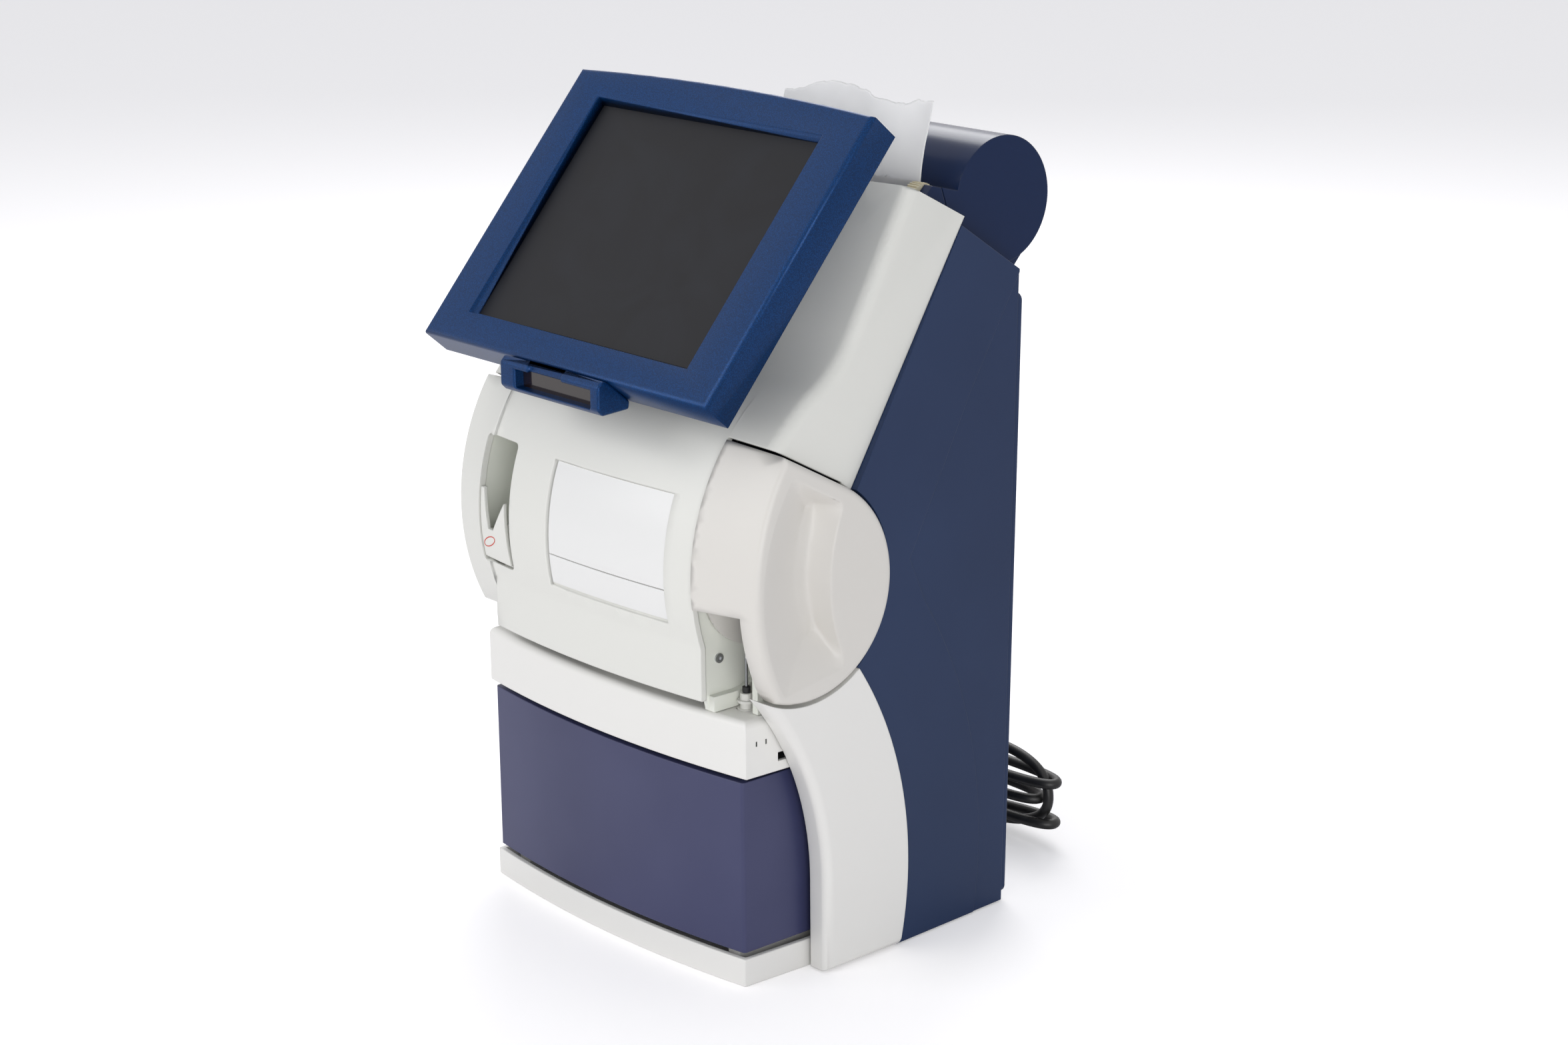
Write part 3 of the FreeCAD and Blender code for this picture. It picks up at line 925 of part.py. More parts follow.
# On the left its front tip stops short of the ledge's end.
keep("arch_left", mirrored(arch).cut(box(-s.arch_out_x - s.wall, -s.side_in_x + s.wall, -s.crown_centre_y,
                                         s.arch_tip_y, s.ledge_bottom_z, s.pivot_z)))

rear_gap_c = (s.arch_back_y + s.seat_gap, s.arch_back_z)
pod_gap = s.seam_radius
side_front_low = (arc_y(rear_gap_c[0], rear_gap_c[1], s.arch_back_radius, s.floor_lift, 1), s.floor_lift)
side_front_high = circles_meet(rear_gap_c, s.arch_back_radius, pivot, pod_gap, True)
side_front_mid = on_circle(rear_gap_c[0], rear_gap_c[1], s.arch_back_radius,
                           (angle_at(rear_gap_c, side_front_low) + angle_at(rear_gap_c,
                                                                            side_front_high)) / 2)
bound_gap = moved(bound_low, (bound_u[1], -bound_u[0]), s.seat_gap)
pod_top = line_meets(bound_gap, bound_u, pivot, pod_gap, True)
pod_mid = on_circle(pivot[0], pivot[1], pod_gap,
                    (angle_at(pivot, side_front_high) + angle_at(pivot, pod_top)) / 2)
bound_top_gap = moved(bound_gap, bound_u, bound_length - s.wall)
side_steps = [
    side_front_low, (side_front_mid[0], side_front_mid[1], side_front_high[0], side_front_high[1]),
    (pod_mid[0], pod_mid[1], pod_top[0], pod_top[1]), bound_top_gap,
    (s.side_back_top_y, s.side_back_top_z),
    (s.side_back_low_y, s.floor_lift),
]
side_full = slab(s.side_in_x, s.arch_out_x, side_steps)


def taper_tool(inset):
    """What lies outside the side cover's slightly toed-in face."""
    slope = (s.side_back_x - s.side_front_x) / (s.side_back_low_y - s.side_taper_y)
    y0, y1 = -s.crown_centre_y, s.crown_centre_y
    x0 = s.side_front_x - inset + slope * (y0 - s.side_taper_y)
    x1 = s.side_front_x - inset + slope * (y1 - s.side_taper_y)
    out = s.crown_centre_y
    corners = [V(x0, y0, -out), V(x1, y1, -out), V(out, y1, -out), V(out, y0, -out)]
    return Part.Face(Part.makePolygon(corners + [corners[0]])).extrude(V(0, 0, out * 3))


step_steps = [
    (s.step_low_y, -s.wall), (s.step_mid_y, s.step_mid_z, s.step_bend_y, s.step_bend_z),
    (s.step_kink_y, s.step_kink_z), (s.step_top_y, s.step_top_z),
    (s.side_back_top_y + s.wall, s.side_back_top_z + s.wall), (s.side_back_top_y + s.wall, -s.wall),
]
step_prism = slab(s.side_in_x, s.arch_out_x, step_steps)
side_outer = side_full.cut(taper_tool(0)).cut(step_prism.common(taper_tool(s.step_depth)))
side_void_wire = wire_at(s.side_in_x - s.wall, side_steps).makeOffset2D(-s.wall, 2)
side_void = Part.Face(side_void_wire).extrude(V(s.arch_out_x - s.side_in_x, 0, 0)).cut(taper_tool(s.wall))
rib_room = slab(s.side_in_x - s.wall, s.neck_half - s.wall + s.seat_gap, [
    (rib_steps[0][0] - s.seat_gap, rib_steps[0][1] - s.seat_gap * 2),
    (rib_steps[1][0] + s.seat_gap, rib_steps[1][1] - s.seat_gap * 2),
    (rib_steps[2][0] + s.seat_gap, rib_steps[2][1] + s.seat_gap * 2),
    (rib_steps[3][0] - s.seat_gap, rib_steps[3][1] + s.seat_gap * 2)])
side_cover = side_outer.cut(side_void).cut(rib_room)
keep("side_cover_right", side_cover)
keep("side_cover_left", mirrored(side_cover))

# The rear cover leans with the back of the case and has vents over the fan.
rear_steps = [
    (rear_y(s.rear_low_z, s.seat_gap), s.rear_low_z), (rear_y(s.rear_low_z, s.rear_stand), s.rear_low_z),
    (rear_y(s.rear_top_z, s.rear_stand), s.rear_top_z), (rear_y(s.rear_top_z, s.seat_gap), s.rear_top_z),
]
rear = slab(-s.rear_half, s.rear_half, rear_steps)
rear = fillet_near(rear, s.rear_round, lambda e: abs(abs(e.CenterOfMass.x) - s.rear_half) < s.fit_gap
                   and (e.CenterOfMass.z < s.rear_low_z + s.fit_gap
                        or e.CenterOfMass.z > s.rear_top_z - s.fit_gap))
vents = []
for i in range(int(s.vent_count)):
    z = s.vent_z + (i - (s.vent_count - 1) / 2) * s.vent_pitch
    vents.append(box(s.vent_x - s.vent_length / 2, s.vent_x + s.vent_length / 2, 0, s.crown_centre_y,
                     z - s.vent_slot / 2, z + s.vent_slot / 2))
inlet_front_y = rear_y(s.inlet_z, s.rear_stand)
inlet_cut = box(s.inlet_x - s.inlet_width / 2, s.inlet_x + s.inlet_width / 2, 0, s.crown_centre_y,
                s.inlet_z - s.inlet_height / 2, s.inlet_z + s.inlet_height / 2)
net_cut = box(s.net_x - s.net_width / 2, s.net_x + s.net_width / 2, 0, s.crown_centre_y,
              s.net_z - s.net_height / 2, s.net_z + s.net_height / 2)
keep("rear_cover", rear.cut(vents + [inlet_cut, net_cut]))
screws = []
for x in (-s.screw_x, s.screw_x):
    for z in (s.rear_low_z + s.overrun, s.rear_top_z - s.overrun):
        at = V(x, rear_y(z, s.rear_stand), z)
        axis = V(0, lean_u[1], -lean_u[0])
        head = Part.makeCylinder(s.screw_radius, s.screw_head, at, axis)
        cross = Part.makeCylinder(s.screw_radius / 3, s.screw_head, at + axis * (s.screw_head / 2), axis)
        screws.append(head.cut(cross))
keep("rear_screws", Part.makeCompound(screws))

# The power inlet and the network socket are open boxes set in the rear cover.


def open_socket(x, z, width, height, depth, wall, front_y):
    """A box with its mouth to the back and a contact block inside."""
    shell = box(x - width / 2, x + width / 2, front_y - depth, front_y, z - height / 2, z + height / 2)
    mouth = box(x - width / 2 + wall, x + width / 2 - wall, front_y - depth + wall, front_y + depth,
                z - height / 2 + wall, z + height / 2 - wall)
    return shell.cut(mouth)


power = open_socket(s.inlet_x, s.inlet_z, s.inlet_width - s.seat_gap * 2, s.inlet_height - s.seat_gap * 2,
                    s.inlet_body, s.net_wall, inlet_front_y)
blades = []
for dx in (-1, 0, 1):
    blades.append(box(s.inlet_x + dx * s.inlet_width / 4 - s.net_wall / 2,
                      s.inlet_x + dx * s.inlet_width / 4
                      + s.net_wall / 2, inlet_front_y - s.inlet_body + s.net_wall,
                      inlet_front_y - s.inlet_body / 2,
                      s.inlet_z - s.net_wall * 2, s.inlet_z + s.net_wall))
keep("power_inlet", power.fuse(blades).removeSplitter())
net = open_socket(s.net_x, s.net_z, s.net_width - s.seat_gap * 2, s.net_height - s.seat_gap * 2,
                  s.net_depth,
                  s.net_wall, rear_y(s.net_z, s.rear_stand))
keep("network_socket", net)

# The fan behind the vents, and the main board beside it.
fan_y = rear_y(s.vent_z - s.fan_size / 2, 0) - s.fan_depth
fan_frame = box(s.vent_x - s.fan_size / 2, s.vent_x + s.fan_size / 2, fan_y, fan_y + s.fan_depth,
                s.vent_z - s.fan_size / 2, s.vent_z + s.fan_size / 2)
fan_hole = Part.makeCylinder(s.fan_bore, s.fan_depth * 3, V(s.vent_x, fan_y - s.fan_depth, s.vent_z),
                             y_axis)
fan_frame = fan_frame.cut(fan_hole)
spider = []
for k in range(int(s.spoke_count)):
    spoke = box(s.vent_x - s.blade_sheet, s.vent_x + s.blade_sheet, fan_y, fan_y + s.blade_sheet,
                s.vent_z, s.vent_z + s.fan_bore + s.blade_sheet / 2)
    spoke.rotate(V(s.vent_x, fan_y, s.vent_z), y_axis, 360 / s.spoke_count * k)
    spider.append(spoke)
stator = Part.makeCylinder(s.fan_hub, s.blade_sheet, V(s.vent_x, fan_y, s.vent_z), y_axis)
axle = Part.makeCylinder(s.pump_shaft / 2, s.fan_depth - s.blade_sheet * 2, V(s.vent_x, fan_y, s.vent_z),
                         y_axis)
keep("fan_frame", fan_frame.fuse(spider + [stator, axle]).removeSplitter())
rotor_y = fan_y + s.blade_sheet + s.seat_gap
rotor_depth = s.fan_depth - s.blade_sheet - s.seat_gap * 3
rotor = Part.makeCylinder(s.fan_hub, rotor_depth, V(s.vent_x, rotor_y, s.vent_z), y_axis)
fan_blades = []
for k in range(int(s.blade_count)):
    blade = box(-s.blade_sheet / 2, s.blade_sheet / 2, -rotor_depth / 3, rotor_depth / 3,
                s.fan_hub * blade_root_share,
                s.fan_bore - s.blade_sheet)
    blade.rotate(origin, z_axis, s.blade_twist_deg)
    blade.rotate(origin, y_axis, 360 / s.blade_count * k)
    blade.translate(V(s.vent_x, rotor_y + rotor_depth / 2, s.vent_z))
    fan_blades.append(blade)
rotor = rotor.fuse(fan_blades)
keep("fan_rotor", rotor.cut(Part.makeCylinder(s.pump_shaft / 2 + s.fit_gap,
                                              s.fan_depth - s.blade_sheet * 1.5,
                                              V(s.vent_x, fan_y, s.vent_z), y_axis)))
board = sheet_box("Board", "-Sizes.board_half", "Sizes.vent_x - Sizes.fan_size / 2 - Sizes.wall",
                  "Sizes.board_y - Sizes.board_sheet", "Sizes.board_y", "Sizes.board_low_z",
                  "Sizes.board_high_z")
chip = sheet_box("Chip", "-Sizes.chip_size * 2", "-Sizes.chip_size",
                 "Sizes.board_y - Sizes.board_sheet - Sizes.chip_sheet",
                 "Sizes.board_y - Sizes.board_sheet", "(Sizes.board_low_z + Sizes.board_high_z) / 2",
                 "(Sizes.board_low_z + Sizes.board_high_z) / 2 + Sizes.chip_size")
finish(union("BoardWithChip", [board, chip]), "main_board")

# The power supply, the sensor cassette and the pump stand on the deck.
supply = sheet_box("Supply", "Sizes.supply_left_x", "Sizes.supply_right_x", "Sizes.supply_front_y",
                   "Sizes.supply_back_y", "Sizes.deck_z", "Sizes.supply_high_z")
slot_tools = []
for i in range(int(s.supply_slot_count)):
    x_text = ("Sizes.supply_left_x + (Sizes.supply_right_x - Sizes.supply_left_x) * %d"
              " / (Sizes.supply_slot_count + 1)")
    x_text = x_text % (i + 1)
    slot_tools.append(sheet_box("SupplySlot%d" % i, "%s - Sizes.supply_slot / 2" % x_text,
                                "%s + Sizes.supply_slot / 2" % x_text,
                                "Sizes.supply_front_y + Sizes.wall * 2",
                                "Sizes.supply_back_y - Sizes.wall * 2", "Sizes.supply_high_z - Sizes.wall",
                                "Sizes.supply_high_z + Sizes.wall"))
slots = doc.addObject("Part::Compound", "SupplySlots")
slots.Links = slot_tools
finish(less("SupplyCut", supply, slots), "power_supply")
cassette = box(s.cassette_left_x, s.cassette_right_x, s.cassette_front_y, s.cassette_back_y,
               s.ledge_top_z, s.cassette_high_z)
rib_pitch = (s.cassette_right_x - s.cassette_left_x) / s.cassette_rib_count
grooves = []
for i in range(int(s.cassette_rib_count)):
    x = s.cassette_left_x + rib_pitch * (i + 0.5)
    grooves.append(box(x - s.cassette_rib / 2, x + s.cassette_rib / 2, s.cassette_front_y,
                       s.cassette_front_y
                       + s.cassette_rib, s.ledge_top_z + s.wall, s.cassette_high_z - s.wall))
keep("sensor_cassette", cassette.cut(grooves))
pump_body = sheet_box("PumpBody", "Sizes.pump_x - Sizes.pump_half", "Sizes.pump_x + Sizes.pump_half",
                      "Sizes.pump_y - Sizes.pump_half", "Sizes.pump_y + Sizes.pump_half", "Sizes.deck_z",
                      "Sizes.pump_high_z")
pump_well = sheet_cylinder("PumpWell", z_axis, "Sizes.pump_bore", "Sizes.pump_high_z - Sizes.deck_z",
                           "Sizes.pump_x", "Sizes.pump_y", "Sizes.deck_z + Sizes.wall")
pump_pin = sheet_cylinder("PumpPin", z_axis, "Sizes.pump_shaft",
                          "Sizes.pump_high_z - Sizes.deck_z - Sizes.wall",
                          "Sizes.pump_x", "Sizes.pump_y", "Sizes.deck_z")
pump_open = less("PumpOpen", pump_body, pump_well)
finish(union("PumpHousing", [pump_open, pump_pin]), "pump_housing")
rotor_low = s.deck_z + s.wall + s.seat_gap
rotor_high = s.pump_high_z - s.seat_gap
pump = Part.makeCylinder(s.pump_rotor - s.roller_radius / 2, s.wall, V(s.pump_x, s.pump_y, rotor_low))
pump = pump.fuse(Part.makeCylinder(s.pump_shaft * 2, rotor_high - rotor_low,
                                   V(s.pump_x, s.pump_y, rotor_low)))
rollers = []
for k in range(int(s.roller_count)):
    a = 2 * math.pi * k / s.roller_count
    rollers.append(Part.makeCylinder(s.roller_radius, rotor_high - rotor_low, V(
        s.pump_x + s.roller_ring * math.cos(a), s.pump_y + s.roller_ring * math.sin(a), rotor_low)))
pump = pump.fuse(rollers).cut(Part.makeCylinder(s.pump_shaft + s.fit_gap, s.pump_high_z,
                                                V(s.pump_x, s.pump_y,
                                                                                           rotor_low - s.wall)))
keep("pump_rotor", pump.removeSplitter())

# Modelled flat, with V up the glass and W out of it, then tilted into place.
display_place = FreeCAD.Placement(V(0, s.display_y, s.display_z),
                                  FreeCAD.Rotation(x_axis, s.display_tilt_deg))


def bezel_outline(inset, w):
    """The outer edge of the bezel with its gently arched top."""
    half = s.bezel_half_width - inset
    low = -s.bezel_low_v + inset
    high = s.bezel_high_v - inset
    edges = [
        Part.LineSegment(V(-half, low, w), V(half, low, w)).toShape(),
        Part.LineSegment(V(half, low, w), V(half, high, w)).toShape(),
        Part.Arc(V(half, high, w), V(0, high + s.bezel_arch, w), V(-half, high, w)).toShape(),
        Part.LineSegment(V(-half, high, w), V(-half, low, w)).toShape(),
    ]
    return Part.Wire(edges)


bezel_thick = s.bezel_back - s.bezel_front
bezel = Part.Face(bezel_outline(0, -s.bezel_back)).extrude(V(0, 0, bezel_thick))
bezel = fillet_near(bezel, s.bezel_round, lambda e: abs(e.CenterOfMass.z + s.bezel_front) < s.fit_gap)
bezel_hollow = Part.Face(bezel_outline(s.wall, -s.bezel_back - s.wall)).extrude(
    V(0, 0, bezel_thick + s.wall - s.bezel_lip))


def sight_wire(grow, w):
    a, b = s.open_half_width + grow, s.open_half_height + grow
    return Part.makePolygon([V(-a, -b, w), V(a, -b, w), V(a, b, w), V(-a, b, w), V(-a, -b, w)])


sight = Part.makeLoft([sight_wire(-s.bezel_lip / 2, -s.bezel_front - s.bezel_lip - s.wall),
                       sight_wire(s.bezel_lip / 2, -s.bezel_front + s.bezel_lip / 2)], True, True)
bezel = bezel.cut([bezel_hollow, sight])
bezel.Placement = display_place
keep("display_bezel", bezel)
glass_top = -s.bezel_front - s.bezel_lip
glass_half = s.open_half_width + s.glass_margin
glass_high = s.open_half_height + s.glass_margin
glass = box(-glass_half, glass_half, -glass_high, glass_high, glass_top - s.glass_sheet, glass_top)
glass.Placement = display_place
keep("touch_glass", glass)
lcd_top = glass_top - s.glass_sheet
lcd_low = lcd_top - s.lcd_depth
lcd = box(-glass_half, glass_half, -glass_high, glass_high, lcd_low, lcd_top)
lcd.Placement = display_place
keep("lcd_module", lcd)
back_plate = Part.Face(bezel_outline(s.wall + s.seat_gap, lcd_low - s.seat_gap - s.wall)).extrude(V(0, 0,
                                                                                                    s.wall))
back_top = lcd_low - s.seat_gap - s.wall
back_depth_w = -s.bezel_back - s.back_depth


def back_wire(shrink, w):
    a, b = s.back_half_width - shrink, s.back_half_height - shrink
    return Part.makePolygon([V(-a, -b, w), V(a, -b, w), V(a, b, w), V(-a, b, w), V(-a, -b, w)])


bulk = Part.makeLoft([back_wire(0, back_top), back_wire(s.back_taper, back_depth_w)], True, True)
bulk_void = Part.makeLoft([back_wire(s.wall, back_top + s.wall), back_wire(s.back_taper + s.wall,
                                                                           back_depth_w + s.wall)], True,
                                                                           True)
display_back = back_plate.fuse(bulk).cut(bulk_void).removeSplitter()
display_back.Placement = display_place
keep("display_back", display_back)


def display_point(v, w):
    """A place on the display, given up the glass and out of it, seen from the side."""
    at = display_place.multVec(V(0, v, w))
    return (at.y, at.z)


# The barcode reader hangs under the bezel: a wedge with a window and a stepped upper lip.
under_front = display_point(-s.bezel_low_v, -s.bezel_front - s.bezel_round)
under_back = display_point(-s.bezel_low_v, -s.bezel_back)
reader_front_low = (s.reader_front_y, s.reader_low_z + s.wall)
reader_steps = [
    under_back, under_front, (s.reader_front_y + s.wall, s.reader_top_z),
    (s.reader_front_y, s.reader_top_z - s.wall),
    reader_front_low, (s.reader_front_y + s.wall, s.reader_low_z),
    (s.reader_back_y, s.reader_low_z + s.wall / 3),
]
reader = slab(-s.reader_half, s.reader_half, reader_steps)
reader_mouth = box(s.reader_window_left_x, s.reader_window_right_x, s.reader_front_y - s.wall,
                   s.reader_front_y + s.reader_window_depth, s.reader_window_low_z, s.reader_window_high_z)
reader_step = box(s.reader_notch_left_x, s.reader_notch_right_x, s.reader_front_y - s.wall,
                  s.reader_front_y + s.wall * reader_step_share, s.reader_window_high_z - s.wall / 3,
                  s.reader_top_z + s.wall)
keep("reader_housing", reader.cut([reader_mouth, reader_step]))
keep("reader_window", box(s.reader_window_left_x, s.reader_window_right_x,
                          s.reader_front_y + s.reader_window_depth - s.reader_glass,
                          s.reader_front_y + s.reader_window_depth, s.reader_window_low_z,
                          s.reader_window_high_z))

# The tilt hinge: a lug on the display turns on a pin between two cheeks on the neck.
lug_top = display_point(s.back_half_height / 3, back_depth_w)
lug_low = display_point(-s.back_half_height / 2, back_depth_w)
lug_low_reach, lug_back_reach, lug_high_reach = [s.hinge_radius * share for share in lug_shares]
lug_steps = [lug_top, lug_low, (s.hinge_y - lug_low_reach, s.hinge_z - lug_low_reach),
             (s.hinge_y - lug_back_reach, s.hinge_z + lug_high_reach)]
lug = slab(-s.knuckle_half, s.knuckle_half, lug_steps)
lug = lug.fuse(rod(-s.knuckle_half, s.knuckle_half, s.hinge_y, s.hinge_z, s.hinge_radius))
lug = lug.cut(rod(-s.hinge_half, s.hinge_half, s.hinge_y, s.hinge_z, s.hinge_pin_radius + s.fit_gap))
keep("display_knuckle", lug.removeSplitter())
bearing_steps = [
    moved(moved((s.hinge_y, s.hinge_z), neck_u, -s.hinge_foot), neck_n, s.hinge_plate - s.hinge_radius),
    moved((s.hinge_y, s.hinge_z), neck_u, -s.hinge_radius),
    moved((s.hinge_y, s.hinge_z), neck_u, s.hinge_radius),
    moved(moved((s.hinge_y, s.hinge_z), neck_u, s.hinge_foot), neck_n, s.hinge_plate - s.hinge_radius),
    moved(moved((s.hinge_y, s.hinge_z), neck_u, s.hinge_foot), neck_n, -s.hinge_radius * 3),
    moved(moved((s.hinge_y, s.hinge_z), neck_u, -s.hinge_foot), neck_n, -s.hinge_radius * 3),
]
bearings = []
for x0, x1 in ((s.knuckle_half + s.seat_gap, s.hinge_half), (-s.hinge_half, -s.knuckle_half - s.seat_gap)):
    bearing = slab(x0, x1, bearing_steps).fuse(rod(x0, x1, s.hinge_y, s.hinge_z, s.hinge_radius))
    bearings.append(bearing.cut(outer_body).cut(rod(x0 - s.wall, x1 + s.wall, s.hinge_y, s.hinge_z,
                                                    s.hinge_pin_radius + s.fit_gap)))
keep("hinge_bracket", Part.makeCompound(bearings))
hinge_pin = sheet_cylinder("HingePin", x_axis, "Sizes.hinge_pin_radius", "2 * Sizes.hinge_half",
                           "-Sizes.hinge_half",
                           "Sizes.hinge_y", "Sizes.hinge_z")
finish(hinge_pin, "hinge_pin")

# The deck under the lid: a sloping plate, a shelf for the mechanism, the roll's trough and the lid's ears.
deck_a = slope_point(s.cheek_back_y + s.wall, -s.deck_drop)
deck_b = slope_point(s.side_back_top_y, -s.deck_drop)
deck_steps = [
    (s.print_front_y, s.print_shelf_z), (deck_a[0], s.print_shelf_z),
    slope_point(s.cheek_back_y + s.wall, -s.deck_drop - s.deck_sheet),
    slope_point(s.side_back_top_y, -s.deck_drop - s.deck_sheet), deck_b, deck_a,
    (s.cheek_back_y + s.deck_sheet / 2, deck_a[1]), (s.cheek_back_y + s.deck_sheet / 2,
                                                     s.print_shelf_z + s.deck_sheet),
    (s.print_front_y, s.print_shelf_z + s.deck_sheet),
]
print_deck = slab(-s.deck_half, s.deck_half, deck_steps)
roll_left = s.paper_left_x - s.bracket_gap
roll_right = s.paper_right_x + s.bracket_gap
trough_in = s.roll_radius + s.trough_play
trough_degrees = (s.trough_start_deg, s.trough_mid_deg, s.trough_end_deg)
trough_arc = [on_circle(s.roll_y, s.roll_z, trough_in + s.trough_sheet, a) for a in trough_degrees]
trough_back = [on_circle(s.roll_y, s.roll_z, trough_in, a) for a in trough_degrees[::-1]]
trough = slab(roll_left, roll_right, [
    trough_arc[0], trough_arc[1] + trough_arc[2], trough_back[0], trough_back[1] + trough_back[2]])
stand_a = slope_point(s.roll_y - s.roll_radius, -s.deck_drop)
stand_b = slope_point(s.side_back_top_y - s.wall, -s.deck_drop)
crest = s.roll_z + s.bracket_round
stand_steps = [
    stand_a, stand_b, (s.roll_y + s.bracket_round, s.roll_z), (s.roll_y, crest),
    (s.roll_y - s.bracket_round, s.roll_z),
]
stands = []
for x in (roll_left - s.bracket_sheet, roll_right):
    stands.append(slab(x, x + s.bracket_sheet, stand_steps))
ear_steps = [
    slope_point(s.side_back_top_y - s.wall, -s.deck_drop - s.deck_sheet), (s.lid_pin_y, s.lid_pin_z
                                                                           - s.lid_knuckle_radius),
    (s.lid_pin_y, s.lid_pin_z + s.lid_knuckle_radius * ear_share),
    slope_point(s.side_back_top_y - s.wall, -s.deck_drop),
]
ears = []
for x0, x1 in ((s.ear_in_x, s.ear_out_x), (-s.ear_out_x, -s.ear_in_x)):
    ears.append(slab(x0, x1, ear_steps))
    ears.append(rod(x0, x1, s.lid_pin_y, s.lid_pin_z, s.lid_knuckle_radius))
spindle = sheet_cylinder("Spindle", x_axis, "Sizes.spindle_radius",
                         "Sizes.paper_right_x - Sizes.paper_left_x + 2 * (Sizes.bracket_gap + Sizes.bracket_sheet)",
                         "Sizes.paper_left_x - Sizes.bracket_gap - Sizes.bracket_sheet", "Sizes.roll_y",
                         "Sizes.roll_z")
lid_pin = sheet_cylinder("LidPin", x_axis, "Sizes.lid_pin_radius",
                         "2 * Sizes.lid_half - 6 * Sizes.seat_gap",
                         "-Sizes.lid_half + 3 * Sizes.seat_gap", "Sizes.lid_pin_y", "Sizes.lid_pin_z")
doc.recompute()
print_deck = print_deck.fuse([trough] + stands + ears + [spindle.Shape, lid_pin.Shape])
keep("printer_tray", print_deck.removeSplitter())
roll_solid = sheet_cylinder("RollSolid", x_axis, "Sizes.roll_radius",
                            "Sizes.paper_right_x - Sizes.paper_left_x",
                            "Sizes.paper_left_x", "Sizes.roll_y", "Sizes.roll_z")
roll_core = sheet_cylinder("RollCore", x_axis, "Sizes.spindle_radius + Sizes.fit_gap",
                           "Sizes.paper_right_x - Sizes.paper_left_x", "Sizes.paper_left_x", "Sizes.roll_y",
                           "Sizes.roll_z")
finish(less("RollCut", roll_solid, roll_core), "paper_roll")

# The lid: a round cover with flat ends and a low wing in front, open below.
lid_c = (s.lid_y, s.lid_z)
lid_front = line_meets((s.wing_front_y, s.wing_back_z), (1.0, 0.0), lid_c, s.lid_radius, False)
lid_slope = slope_point(s.lid_y, s.lid_lift)
lid_tail = line_meets(lid_slope, slope_u, lid_c, s.lid_radius, True)
lid_low = slope_point(s.wing_low_y + s.seat_gap * 2, s.lid_lift)
a0 = angle_at(lid_c, lid_front)
a1 = angle_at(lid_c, lid_tail)
lid_top = on_circle(s.lid_y, s.lid_z, s.lid_radius, (a0 + a1) / 2)
lid_steps = [
    (s.wing_front_y, s.wing_front_z), lid_front, lid_top + lid_tail, lid_low, (s.wing_low_y, s.wing_low_z),
]
inner_r = s.lid_radius - s.lid_wall
void_front_y = s.wing_low_y + s.lid_wall
void_high = s.wing_back_z - s.lid_wall
void_front = line_meets((void_front_y, void_high), (1.0, 0.0), lid_c, inner_r, False)
void_end = on_circle(s.lid_y, s.lid_z, inner_r, s.lid_tail_deg)
wall_end = on_circle(s.lid_y, s.lid_z, s.lid_radius + s.wall, s.lid_tail_deg)
void_mid = on_circle(s.lid_y, s.lid_z, inner_r, (angle_at(lid_c, void_front) + s.lid_tail_deg) / 2)
void_steps = [
    (void_front_y, void_high), void_front, void_mid + void_end, wall_end,
    (wall_end[0], lid_tail[1] - s.overrun),
    (void_front_y, lid_tail[1] - s.overrun),
]
lid = slab(-s.lid_half, s.lid_half, lid_steps)
lid = lid.cut(slab(-s.lid_half + s.lid_wall, s.lid_half - s.lid_wall, void_steps))
web_steps = [
    (s.lid_pin_y - s.lid_knuckle_radius, s.lid_pin_z), (s.lid_pin_y + s.lid_knuckle_radius, s.lid_pin_z),
    on_circle(s.lid_y, s.lid_z, s.lid_radius - s.fit_gap, s.lid_tail_deg + s.lid_wall),
    on_circle(s.lid_y, s.lid_z, inner_r, s.lid_tail_deg - s.lid_wall),
]
for x0, x1 in ((s.lid_knuckle_in_x, s.lid_half - s.seat_gap),
               (s.seat_gap - s.lid_half, -s.lid_knuckle_in_x)):
    lid = lid.fuse([slab(x0, x1, web_steps), rod(x0, x1, s.lid_pin_y, s.lid_pin_z, s.lid_knuckle_radius)])
lid = lid.cut(rod(-s.lid_half - s.wall, s.lid_half + s.wall, s.lid_pin_y, s.lid_pin_z,
                  s.lid_pin_radius + s.fit_gap))
keep("printer_lid", lid.removeSplitter())

# Platen, its cheeks and the print head in front of it.
cheek_steps = [
    (s.print_front_y, s.print_shelf_z + s.deck_sheet), (s.cheek_back_y, s.print_shelf_z + s.deck_sheet),
    (s.cheek_back_y, s.cheek_high_z - s.wall), (s.cheek_back_y - s.wall, s.cheek_high_z),
    (s.print_front_y, s.cheek_high_z),
]
cheek_left = s.paper_left_x - s.wall
mech = slab(cheek_left, cheek_left + s.cheek_sheet, cheek_steps)
mech = mech.fuse([
    slab(s.wheel_in_x, s.wheel_in_x + s.cheek_sheet, cheek_steps),
    box(cheek_left, s.wheel_in_x, s.print_front_y, s.cheek_back_y, s.print_shelf_z + s.deck_sheet,
        s.print_shelf_z + s.deck_sheet * 2),
    box(cheek_left, s.wheel_in_x, s.platen_y - s.platen_radius - s.seat_gap - s.head_sheet,
        s.platen_y - s.platen_radius - s.seat_gap, s.print_shelf_z + s.deck_sheet, s.head_high_z),
])
shaft_end = s.wheel_in_x + s.cheek_sheet + s.seat_gap
mech = mech.cut(rod(cheek_left - s.wall, shaft_end, s.platen_y, s.platen_z, s.shaft_radius + s.fit_gap))
keep("printer_mechanism", mech.removeSplitter())
platen = rod(cheek_left + s.cheek_sheet + s.seat_gap, s.platen_end_x, s.platen_y, s.platen_z,
             s.platen_radius)
platen = platen.fuse(rod(cheek_left, s.wheel_in_x + s.cheek_sheet, s.platen_y, s.platen_z, s.shaft_radius))
